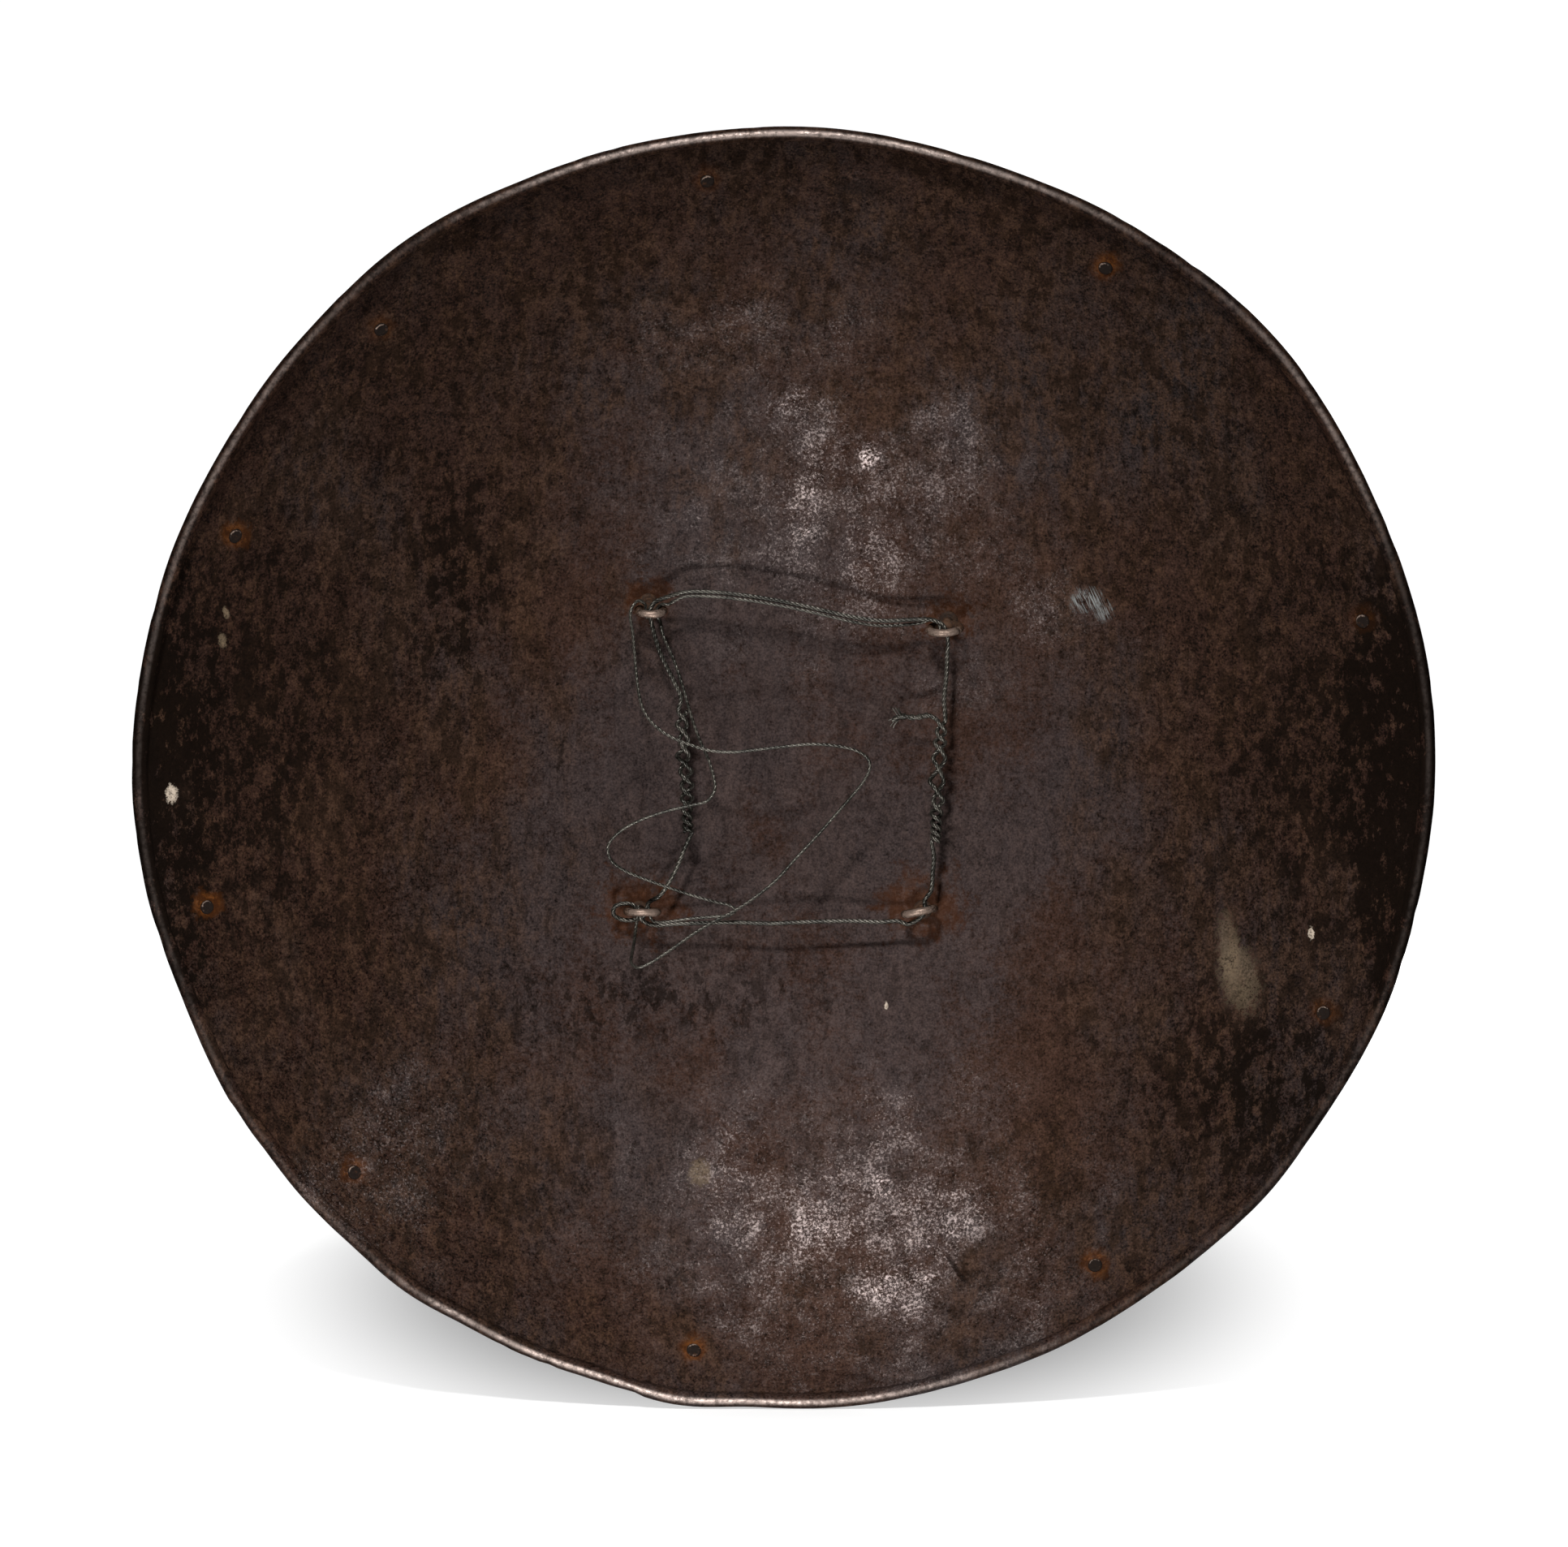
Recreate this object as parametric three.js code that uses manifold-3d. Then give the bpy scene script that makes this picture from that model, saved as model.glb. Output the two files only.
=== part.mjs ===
// A steel dhal: a raised round bowl with a rolled rim, four eye bolts under domed bosses,
// ten border rivets, and the wires strung between the eyes. Millimetres, +Z up.
// The hollow faces -Y. The origin is the middle of the upper wire, where the shield hangs.

import * as THREE from "three";
import { mergeVertices } from "three/addons/utils/BufferGeometryUtils.js";
import Module from "manifold-3d";

const wasm = await Module();
wasm.setup();

// Bowl
const rimRadius = 240;
const bowlDepth = 83;
const sheetThickness = 1.4;
const hemDiameter = 6;
const hemSlit = 0.5;
const ovalShare = 0.0112;
const swellPower = 4;
const bowlSegments = 72;
const hemTurn = 1.5 * Math.PI;
const hemOuterSteps = 9;
const hemInnerSteps = 5;
const bowlStationShares = [0.12, 0.24, 0.45, 0.57, 0.68, 0.78, 0.87];

// Flats and bulges of the rim: centre and half width in degrees, swell as a share of the radius.
const rimSwellShares = [
  [8, 16, 0.003],
  [42, 18, 0.0095],
  [72, 16, -0.006],
  [98, 10, -0.0012],
  [125, 13, 0.007],
  [149, 13, -0.003],
  [180, 12, 0.0032],
  [201, 12, -0.0066],
  [216, 6, -0.0025],
  [234, 7, 0.0055],
  [247, 9, 0.0018],
  [260, 8, 0.0092],
  [277, 12, 0.003],
  [308, 14, -0.004],
  [328, 12, -0.0055],
  [347, 12, -0.002],
];

// Clearances
const seatGap = 0.3;
const cutOverrun = 4;

// Border rivets
const rivetFromRim = 19;
const rivetAngles = [97.4, 57.4, 14.4, -24.4, -58, -98.8, 223.3, 193.5, 156.9, 132.4];
const rivetShankDiameter = 4;
const rivetHeadDiameter = 12;
const rivetHeadHeight = 3.6;
const rivetTailDiameter = 5.4;
const rivetTailHeight = 0.6;
const rivetSides = 12;

// Eye bolts
const eyeCircleRadius = 80;
const eyeLoopDiameter = 14.5;
const eyeBarDiameter = 2.9;
const eyeStem = 3;
const eyeNeckDiameter = 3.6;
const eyeShankDiameter = 4.4;
const eyeCollarDiameter = 7;
const eyeCollarHeight = 0.9;
const eyeButtonDiameter = 8.6;
const eyeButtonHeight = 2.6;
const loopDroopDegrees = 6;
const loopSteps = 18;
const barSides = 8;
const shankSides = 12;

// Bosses
const bossDiameter = 38;
const bossHeight = 9.5;
const bossFlange = 2.2;
const bossFlangeThickness = 1;
const bossWall = 1.3;
const bossSides = 24;
const bossArcSteps = 4;

// Wires
const strungDiameter = 1.6;
const looseDiameter = 1.3;
const strungSides = 6;
const looseSides = 8;
const longestStep = 8;
const sharpestStepDegrees = 27;
const samplesPerMillimetre = 4;

// Where each eye bolt goes through the bowl, and how its loop differs.
const eyePlaces = [
  { name: "top_left", degrees: 131.6, circleShare: 0.97, loopShare: 0.86, roll: -1 },
  { name: "top_right", degrees: 39.4, circleShare: 1.01, loopShare: 1, roll: -2 },
  { name: "bottom_left", degrees: 227, circleShare: 1.0125, loopShare: 1, roll: 2 },
  { name: "bottom_right", degrees: -48.2, circleShare: 0.99, loopShare: 1, roll: -12 },
];

// Free stretches of the wires: x, z, and how far each point stands off the bowl.
const upperSpan = [
  [51.5, 52.4, 11],
  [37, 51.8, 12],
  [26, 53.2, 13],
  [15.5, 55.6, 14],
  [4.6, 58.1, 14],
  [-6.5, 60.2, 14],
  [-17, 61.8, 14],
  [-28, 62.8, 13],
  [-38, 62.6, 12],
];
const shortSpan = [
  [51.5, 50.9, 9.3],
  [37, 49.9, 12],
  [26, 51.5, 14.2],
  [15.5, 54, 15.3],
  [4.6, 56.5, 15.3],
  [-6.5, 58.6, 15.3],
  [-17, 60.2, 15.3],
  [-28, 61.2, 14.3],
  [-38, 61, 13.3],
];
const upperToRightTwist = [[61.8, 40, 11], [61.4, 31, 12.5], [60.6, 22.5, 13.5]];
const upperToLeftTwist = [[-47, 40, 11.5], [-41.8, 29, 13], [-39, 22.5, 14]];
const rightTwistAxis = [[59.6, 14, 14], [57.4, -32, 14]];
const leftTwistAxis = [[-38.4, 17.5, 14], [-36.4, -28.5, 14]];
const frayedStub = [[41, 13.6, 11], [44.5, 15.2, 11], [49.5, 15, 12], [54.5, 16, 13.4]];
const lowerFromRightTwist = [[56.8, -37, 13.5], [56.4, -44, 12.5], [55.8, -50.5, 11.5]];
const lowerSpan = [
  [43.5, -62.3, 11.5],
  [36, -62.6, 12],
  [26, -62.2, 13],
  [10, -62.5, 14],
  [-6.5, -63.1, 14],
  [-17, -62.8, 13],
  [-30, -63, 12],
  [-42, -63.4, 11],
];
const lowerToLeftTwist = [[-47, -52.5, 11.5], [-41.6, -44, 12.5], [-37.6, -34.5, 13.5]];
const shortLoop = [
  [-45.8, 46.5, 12.5],
  [-41.8, 37.5, 15.5],
  [-38.2, 27, 18.7],
  [-35, 16, 21],
  [-31.8, 7, 22.5],
  [-28.6, 0, 24],
  [-26.5, -7, 25.5],
  [-26.2, -11.5, 26.5],
  [-29, -15.6, 27],
  [-34.5, -17.1, 27],
  [-44, -19.3, 26],
  [-54.5, -23, 24],
  [-62.4, -27.6, 22],
  [-66.4, -32.6, 21],
  [-65.4, -38, 20.5],
  [-60, -42.2, 20.5],
  [-49.4, -46.6, 20.5],
  [-42.8, -49, 20.5],
  [-34, -52, 20],
  [-26, -54.4, 19.5],
  [-20.6, -55.8, 18.6],
  [-18.4, -57.7, 17.8],
  [-20.8, -59.6, 17],
  [-26.5, -60.2, 16.4],
  [-36, -61, 15.6],
  [-45, -62.2, 14.6],
];
const longLoop = [
  [-57.9, 55.5, 12.5],
  [-57, 46.5, 14.5],
  [-56.2, 37, 16.5],
  [-55.2, 27.4, 19],
  [-53.2, 18.8, 21],
  [-49.2, 13.2, 23],
  [-43, 8.8, 25],
  [-35, 5.6, 27],
  [-28, 3.6, 28],
  [-20, 3, 29],
  [-11.5, 3.8, 30],
  [-1, 5, 30],
  [10, 6, 30],
  [20.5, 5.2, 29],
  [27.5, 3.4, 28],
  [31.6, 0.4, 27],
  [32.4, -3, 26],
  [30.2, -8, 26],
  [25, -14.5, 26.5],
  [18.4, -22.1, 27],
  [12.6, -28.6, 28],
  [4.6, -37, 29],
  [-3, -45.2, 30],
  [-11.6, -52, 31],
  [-19, -56.6, 32],
  [-27, -60.6, 33],
  [-34, -64.6, 34],
  [-42, -70, 34.4],
  [-50, -75, 34.2],
  [-55, -77, 32.6],
  [-57.4, -75.6, 29.4],
  [-57.2, -72.4, 24],
  [-56.6, -69, 18],
];

// The uneven hand twists, row by row at each quarter turn: the share of the axis that is passed,
// and how far each of the two wires stands from it. The first wire starts on the left.
const rightTwistShares = [
  0, 0.04, 0.09, 0.14, 0.18, 0.23, 0.31,
  0.4, 0.5, 0.59, 0.66, 0.72, 0.765, 0.805,
  0.84, 0.87, 0.9, 0.928, 0.954, 0.978, 1,
];
const rightTwistReaches = [
  [1.4, 1.4],
  [1.4, 1.3],
  [1.6, 1.5],
  [1.4, 1.5],
  [2.1, 1.8],
  [1.6, 1.4],
  [2.1, 2.4],
  [1.7, 1.3],
  [3.3, 1.9],
  [1.4, 1.5],
  [2.2, 1.6],
  [1.3, 1.8],
  [2.1, 1.7],
  [1.6, 1.4],
  [1.5, 1.6],
  [1.4, 1.5],
  [1.6, 1.4],
  [1.4, 1.5],
  [1.4, 1.5],
  [1.4, 1.4],
  [1.4, 1.4],
];
const leftTwistShares = [
  0, 0.05, 0.11, 0.17, 0.24, 0.31, 0.37,
  0.43, 0.5, 0.56, 0.615, 0.67, 0.72, 0.77,
  0.81, 0.85, 0.885, 0.92, 0.95, 0.975, 1,
];
const leftTwistReaches = [
  [1.6, 1.5],
  [1.4, 1.4],
  [1.4, 2.4],
  [1.5, 1.4],
  [1.5, 1.7],
  [1.4, 1.6],
  [1.6, 2.9],
  [1.7, 1.4],
  [1.9, 2.3],
  [1.6, 1.4],
  [2.6, 1.6],
  [1.4, 1.7],
  [1.8, 2.2],
  [1.5, 1.4],
  [1.5, 1.6],
  [1.4, 1.5],
  [1.5, 1.4],
  [1.4, 1.5],
  [1.4, 1.4],
  [1.4, 1.4],
  [1.4, 1.4],
];

// How each wire goes through an eye: side, out and up from the middle of the loop.
const upperThroughTopRight = [[1.2, 2.6, -4.2], [0.9, 3.1, -0.4], [-0.6, 2.4, 2.4], [-4.4, 1, 3.9]];
const upperThroughTopLeft = [[4.6, -0.6, 4.4], [1.2, 0.6, 3.2], [-0.7, 1.9, 0.6], [-0.8, 2, -1.2], [0.2, 0.8, -5]];
const shortInTopRight = [[-1.6, -1.6, -3.4], [-2.2, -2.4, -0.6], [-2.8, -1.8, 2], [-5.2, -0.9, 3.4]];
const shortThroughTopLeft = [[6.2, 1.9, 2.9], [3.9, 0.9, 2.6], [2.3, -0.1, 0.4], [2.3, -0.1, -1.8], [3.6, 0.6, -4.6]];
const longInTopLeft = [[-1.6, -0.8, -3.4], [-1.9, -0.5, -0.4], [-2.3, -0.4, 2.4], [-4.9, 0.2, 4]];
const lowerThroughBottomRight = [[2.9, 0.3, 3.6], [2.6, 1.9, 0.6], [1, 1.6, -1.8], [-1.6, 1, -3.2], [-5.4, 0.8, -3.9]];
const lowerRoundBottomLeft = [
  [4.6, 0.6, -4.9],
  [0.6, 0.1, -3.6],
  [-1.7, 0, -0.4],
  [-3.4, -0.4, 2.4],
  [-7, -1, 3],
  [-10.4, -1.6, 1.6],
  [-10.6, -2.2, -1.4],
  [-7.4, -2.6, -3.2],
  [-3.6, -2.8, -3.4],
  [0.4, -3, -2.4],
  [1.9, -2.6, 0.2],
  [2.6, -2, 3.4],
];
const shortIntoBottomLeft = [[4.2, 2.6, -3.4], [2.4, 2.3, -0.8], [1.9, 1.9, 2.6]];
const longIntoBottomLeft = [[-2.6, 3.2, -5], [-2.1, 2.6, -1], [-1.7, 2.2, 2.6]];

// Values worked out from the sizes above
const innerRadius = (rimRadius * rimRadius + bowlDepth * bowlDepth) / (2 * bowlDepth);
const outerRadius = innerRadius + sheetThickness;
const hemRadius = hemDiameter / 2;
const hemCentreRadius = outerRadius - hemRadius;
const rollAngle = Math.asin((rimRadius - hemRadius) / hemCentreRadius);
const rivetCircleRadius = rimRadius - rivetFromRim;
const shankHoleRadius = eyeShankDiameter / 2 + seatGap;
const facetSag = rimRadius * (1 - Math.cos(Math.PI / bowlSegments)) * Math.sin(rollAngle);
const insideSeat = -seatGap - facetSag;

const steelColour = 0x2b211c;
const eyeColour = 0x5a3a28;
const wireColour = 0x55564c;

function steel(colour, roughness) {
  return new THREE.MeshStandardMaterial({ color: colour, roughness, metalness: 1 });
}

function radians(degrees) {
  return THREE.MathUtils.degToRad(degrees);
}

// How far the bowl swells at an angle, as a share of its radius: it grows towards the rim.
function swellAt(angle, radius) {
  let share = -ovalShare * Math.sin(angle) ** 2;
  for (const [centre, halfWidth, swell] of rimSwellShares) {
    const past = angle - radians(centre);
    const away = THREE.MathUtils.radToDeg(Math.abs(Math.atan2(Math.sin(past), Math.cos(past))));
    if (away < halfWidth) {
      share += swell * (0.5 + 0.5 * Math.cos((Math.PI * away) / halfWidth));
    }
  }
  return 1 + share * (radius / rimRadius) ** swellPower;
}

// Height of the inner face at a distance from the axis: zero at the middle, less at the rim.
function innerHeight(radius) {
  return Math.sqrt(innerRadius * innerRadius - radius * radius) - innerRadius;
}

function innerPoint(radius, angle) {
  const swollen = radius * swellAt(angle, radius);
  return new THREE.Vector3(swollen * Math.cos(angle), innerHeight(radius), swollen * Math.sin(angle));
}

// A frame on the inner face: x sideways, y square through the sheet to the front, z up.
function seatFrame(radius, angle) {
  const step = sheetThickness;
  const turn = step / radius;
  const across = innerPoint(radius, angle + turn).sub(innerPoint(radius, angle - turn));
  const along = innerPoint(radius + step, angle).sub(innerPoint(radius - step, angle));
  const through = across.cross(along).normalize();
  const side = new THREE.Vector3().crossVectors(through, new THREE.Vector3(0, 0, 1)).normalize();
  const up = new THREE.Vector3().crossVectors(side, through);
  const frame = new THREE.Matrix4().makeBasis(side, through, up);
  return frame.setPosition(innerPoint(radius, angle));
}

// A geometry with shared corners and no empty triangles.
function closedGeometry(geometry) {
  const bare = geometry.clone();
  bare.deleteAttribute("normal");
  bare.deleteAttribute("uv");
  const merged = mergeVertices(bare);
  const corners = merged.index.array;
  const kept = [];
  for (let i = 0; i < corners.length; i += 3) {
    const [a, b, c] = [corners[i], corners[i + 1], corners[i + 2]];
    if (a !== b && b !== c && c !== a) {
      kept.push(a, b, c);
    }
  }
  merged.setIndex(kept);
  return merged;
}

function solidOf(geometry) {
  const closed = closedGeometry(geometry);
  return new wasm.Manifold(
    new wasm.Mesh({
      numProp: 3,
      vertProperties: new Float32Array(closed.attributes.position.array),
      triVerts: new Uint32Array(closed.index.array),
    }),
  );
}

function geometryOf(solid) {
  const mesh = solid.getMesh();
  const geometry = new THREE.BufferGeometry();
  geometry.setAttribute("position", new THREE.BufferAttribute(mesh.vertProperties, mesh.numProp));
  geometry.setIndex(new THREE.BufferAttribute(mesh.triVerts, 1));
  return geometry;
}

function lathe(profile, segments) {
  const points = profile.map(([radius, height]) => new THREE.Vector2(radius, height));
  return new THREE.LatheGeometry(points, segments);
}

function rodAlongY(diameter, from, to, sides) {
  const rod = new THREE.CylinderGeometry(diameter / 2, diameter / 2, to - from, sides);
  return rod.translate(0, (from + to) / 2, 0);
}

// The bowl's section from the middle of the front, round the rolled hem, to the middle inside.
function bowlProfile() {
  const stations = [
    ...bowlStationShares.map((share) => share * rollAngle),
    Math.asin(eyeCircleRadius / innerRadius),
    Math.asin(rivetCircleRadius / innerRadius),
    rollAngle,
  ].sort((a, b) => a - b);
  const arc = (radius, angle) => [radius * Math.sin(angle), radius * Math.cos(angle) - innerRadius];
  const [rollX, rollY] = arc(hemCentreRadius, rollAngle);
  const roll = (radius, turn) => [
    rollX + radius * Math.sin(rollAngle + turn),
    rollY + radius * Math.cos(rollAngle + turn),
  ];
  const alongSheet = (distance, height) => {
    const [x, y] = roll(distance, hemTurn);
    return [x + height * Math.sin(rollAngle), y + height * Math.cos(rollAngle)];
  };
  const outerRoll = Array.from({ length: hemOuterSteps }, (_, i) =>
    roll(hemRadius, ((i + 1) * hemTurn) / hemOuterSteps),
  );
  const innerRoll = Array.from({ length: hemInnerSteps }, (_, i) =>
    roll(hemRadius - sheetThickness, ((hemInnerSteps - i) * hemTurn) / hemInnerSteps),
  );
  const edgeHeight = hemRadius - sheetThickness - hemSlit;
  return [
    [0, sheetThickness],
    ...stations.map((angle) => arc(outerRadius, angle)),
    ...outerRoll,
    alongSheet(hemRadius, edgeHeight),
    alongSheet(hemRadius - sheetThickness, edgeHeight),
    ...innerRoll,
    ...stations.reverse().map((angle) => arc(innerRadius, angle)),
    [0, 0],
  ];
}

function buildBowl(eyeFrames, rivetFrames) {
  const geometry = lathe(bowlProfile().reverse(), bowlSegments);
  const place = geometry.attributes.position;
  for (let i = 0; i < place.count; i += 1) {
    const radius = Math.hypot(place.getX(i), place.getZ(i));
    const swell = swellAt(Math.atan2(place.getZ(i), place.getX(i)), radius);
    place.setXYZ(i, place.getX(i) * swell, place.getY(i), place.getZ(i) * swell);
  }
  let bowl = solidOf(geometry);
  const drill = (frames, diameter, sides) => {
    for (const frame of frames) {
      const bit = rodAlongY(diameter, -cutOverrun, sheetThickness + cutOverrun, sides);
      bowl = bowl.subtract(solidOf(bit.applyMatrix4(frame)));
    }
  };
  drill(eyeFrames, 2 * shankHoleRadius, shankSides);
  drill(rivetFrames, rivetShankDiameter + 2 * seatGap, rivetSides);
  return geometryOf(bowl);
}

// A rivet along y: peened tail inside, shank through the sheet, domed head on the front.
function rivetGeometry() {
  const tail = rivetTailDiameter / 2;
  const head = rivetHeadDiameter / 2;
  const headSeat = sheetThickness + seatGap;
  const dome = (turn) => [head * Math.cos(turn), headSeat + rivetHeadHeight * Math.sin(turn)];
  const profile = [
    [0, insideSeat - rivetTailHeight],
    [tail - rivetTailHeight / 2, insideSeat - rivetTailHeight],
    [tail, insideSeat - rivetTailHeight / 2],
    [tail, insideSeat],
    [rivetShankDiameter / 2, insideSeat],
    [rivetShankDiameter / 2, headSeat],
    dome(0),
    dome(Math.PI / 6),
    dome(Math.PI / 3),
    dome(Math.PI / 2),
  ];
  profile[profile.length - 1][0] = 0;
  return closedGeometry(lathe(profile, rivetSides));
}

// A hollow domed boss along y, standing on its flange, with a hole for the eye's shank.
function bossGeometry() {
  const edge = bossDiameter / 2;
  const seatAt = (radius) => sheetThickness + seatGap + (innerHeight(radius) * outerRadius) / innerRadius;
  const seat = seatAt(edge);
  const domeRadius = edge - bossFlange;
  const hollow = domeRadius - bossWall;
  const arc = (radius, height, from, steps) =>
    Array.from({ length: steps }, (_, i) => {
      const reach = shankHoleRadius + (radius - shankHoleRadius) * Math.cos((i * Math.PI) / 2 / (steps - 1));
      return [reach, from + height * Math.sin((i * Math.PI) / 2 / (steps - 1))];
    });
  const flangeTop = seat + bossFlangeThickness;
  const profile = [
    [edge, seat],
    [edge, flangeTop],
    ...arc(domeRadius, bossHeight - bossFlangeThickness, flangeTop, bossArcSteps),
    ...arc(hollow, seat + bossHeight - bossWall - seatAt(hollow), seatAt(hollow), bossArcSteps).reverse(),
    [edge, seat],
  ];
  return closedGeometry(lathe(profile, bossSides));
}

// An eye bolt along y: loop and neck inside, collar, shank, and the peened button on the boss.
function eyeBoltGeometry(place) {
  const loopDiameter = eyeLoopDiameter * place.loopShare;
  const barCircle = (loopDiameter - eyeBarDiameter) / 2;
  const loop = new THREE.TorusGeometry(barCircle, eyeBarDiameter / 2, barSides, loopSteps);
  loop.applyMatrix4(loopTurn(place));
  const neck = rodAlongY(eyeNeckDiameter, -eyeStem - eyeBarDiameter / 2, insideSeat, shankSides);
  const crown = sheetThickness + seatGap + bossHeight + seatGap + innerHeight(bossDiameter / 2);
  const button = eyeButtonDiameter / 2;
  const shank = lathe(
    [
      [0, insideSeat - eyeCollarHeight],
      [eyeCollarDiameter / 2 - eyeCollarHeight / 2, insideSeat - eyeCollarHeight],
      [eyeCollarDiameter / 2, insideSeat - eyeCollarHeight / 2],
      [eyeCollarDiameter / 2, insideSeat],
      [eyeShankDiameter / 2, insideSeat],
      [eyeShankDiameter / 2, crown],
      [button, crown],
      [button, crown + eyeButtonHeight / 3],
      [button * Math.cos(Math.PI / 4), crown + eyeButtonHeight * Math.sin(Math.PI / 3)],
      [0, crown + eyeButtonHeight],
    ],
    shankSides,
  );
  return geometryOf(solidOf(loop).add(solidOf(neck)).add(solidOf(shank)));
}

// Takes the middle of a loop, made level at the origin, to its place on its drooping neck.
function loopTurn(place) {
  const reach = eyeStem + (eyeLoopDiameter * place.loopShare) / 2;
  const roll = new THREE.Matrix4().makeRotationY(radians(place.roll));
  const out = new THREE.Matrix4().makeTranslation(0, -reach, 0);
  const droop = new THREE.Matrix4().makeRotationX(radians(loopDroopDegrees));
  return droop.multiply(out).multiply(roll);
}

// The wire's own places
function standing([x, z, stand]) {
  return new THREE.Vector3(x, innerHeight(Math.hypot(x, z)) - stand, z);
}

function throughEye(eye, points) {
  return points.map(([side, out, up]) => new THREE.Vector3(side, -out, up).applyMatrix4(eye.loopFrame));
}

// One wire's uneven turns round a twist's axis, from its upper end to its lower end.
function twistPoints(twist, startsLeft) {
  const [top, bottom] = twist.axis.map(standing);
  const down = bottom.clone().sub(top);
  const front = new THREE.Vector3(0, -1, 0);
  const side = new THREE.Vector3().crossVectors(down, front).normalize();
  const outward = new THREE.Vector3().crossVectors(side, down).normalize();
  const first = startsLeft ? 0 : Math.PI;
  const column = startsLeft ? 0 : 1;
  const between = (values, place) => (values[Math.floor(place)] + values[Math.ceil(place)]) / 2;
  const reaches = twist.reaches.map((row) => row[column]);
  const points = [];
  for (let quarter = 0; quarter <= twist.shares.length - 1; quarter += 1 / 2) {
    const turn = first + (quarter * Math.PI) / 2;
    const reach = between(reaches, quarter);
    points.push(
      top
        .clone()
        .addScaledVector(down, between(twist.shares, quarter))
        .addScaledVector(side, reach * Math.cos(turn))
        .addScaledVector(outward, reach * Math.sin(turn)),
    );
  }
  return points;
}

// A curve whose sections lie on its own points, however far apart these are.
class WirePath extends THREE.Curve {
  constructor(points) {
    super();
    this.points = points;
  }

  getPoint(share, target = new THREE.Vector3()) {
    return target.copy(this.points[Math.round(share * (this.points.length - 1))]);
  }

  getTangent(share, target = new THREE.Vector3()) {
    const last = this.points.length - 1;
    const at = Math.round(share * last);
    const before = this.points[Math.max(at - 1, 0)];
    return target.subVectors(this.points[Math.min(at + 1, last)], before).normalize();
  }

  getPointAt(share, target) {
    return this.getPoint(share, target);
  }

  getTangentAt(share, target) {
    return this.getTangent(share, target);
  }

  getSpacedPoints() {
    return this.points.map((point) => point.clone());
  }
}

// A smooth line through the points, with steps that are short where it bends.
function smoothLine(points) {
  const curve = new THREE.CatmullRomCurve3(points, false, "centripetal");
  const fine = curve.getSpacedPoints(Math.ceil(curve.getLength() * samplesPerMillimetre));
  const heading = (i) => fine[Math.min(i + 1, fine.length - 1)].clone().sub(fine[Math.max(i - 1, 0)]);
  const kept = [fine[0]];
  let last = 0;
  for (let i = 1; i < fine.length - 1; i += 1) {
    const bend = heading(last).angleTo(heading(i));
    const far = fine[i].distanceTo(fine[last]) >= longestStep;
    if (far || bend >= radians(sharpestStepDegrees)) {
      kept.push(fine[i]);
      last = i;
    }
  }
  kept.push(fine[fine.length - 1]);
  return kept;
}

function wireGeometry(line, diameter, sides) {
  const corner = (i) => {
    const turn = (2 * Math.PI * i) / sides;
    return new THREE.Vector2((diameter / 2) * Math.cos(turn), (diameter / 2) * Math.sin(turn));
  };
  const section = new THREE.Shape(Array.from({ length: sides }, (_, i) => corner(i)));
  const path = new WirePath(line);
  const options = { steps: line.length - 1, extrudePath: path, bevelEnabled: false };
  return closedGeometry(new THREE.ExtrudeGeometry(section, options));
}

// The least gap of a wire to itself, between points further apart along it than a few diameters.
function leastGap(line, diameter) {
  const curve = new THREE.CatmullRomCurve3(line, false, "centripetal");
  const points = curve.getSpacedPoints(Math.ceil(curve.getLength()));
  const apart = Math.ceil(3 * diameter);
  let least = Infinity;
  for (let i = 0; i < points.length; i += 1) {
    for (let j = i + apart; j < points.length; j += 1) {
      least = Math.min(least, points[i].distanceTo(points[j]));
    }
  }
  return least - diameter;
}

const seatOf = (radius, degrees) => seatFrame(radius, radians(degrees));
const eyes = Object.fromEntries(
  eyePlaces.map((place) => {
    const frame = seatOf(eyeCircleRadius * place.circleShare, place.degrees);
    return [place.name, { place, frame, loopFrame: frame.clone().multiply(loopTurn(place)) }];
  }),
);
const rivetFrames = rivetAngles.map((degrees) => seatOf(rivetCircleRadius, degrees));

const rightTwist = { axis: rightTwistAxis, shares: rightTwistShares, reaches: rightTwistReaches };
const leftTwist = { axis: leftTwistAxis, shares: leftTwistShares, reaches: leftTwistReaches };

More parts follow.
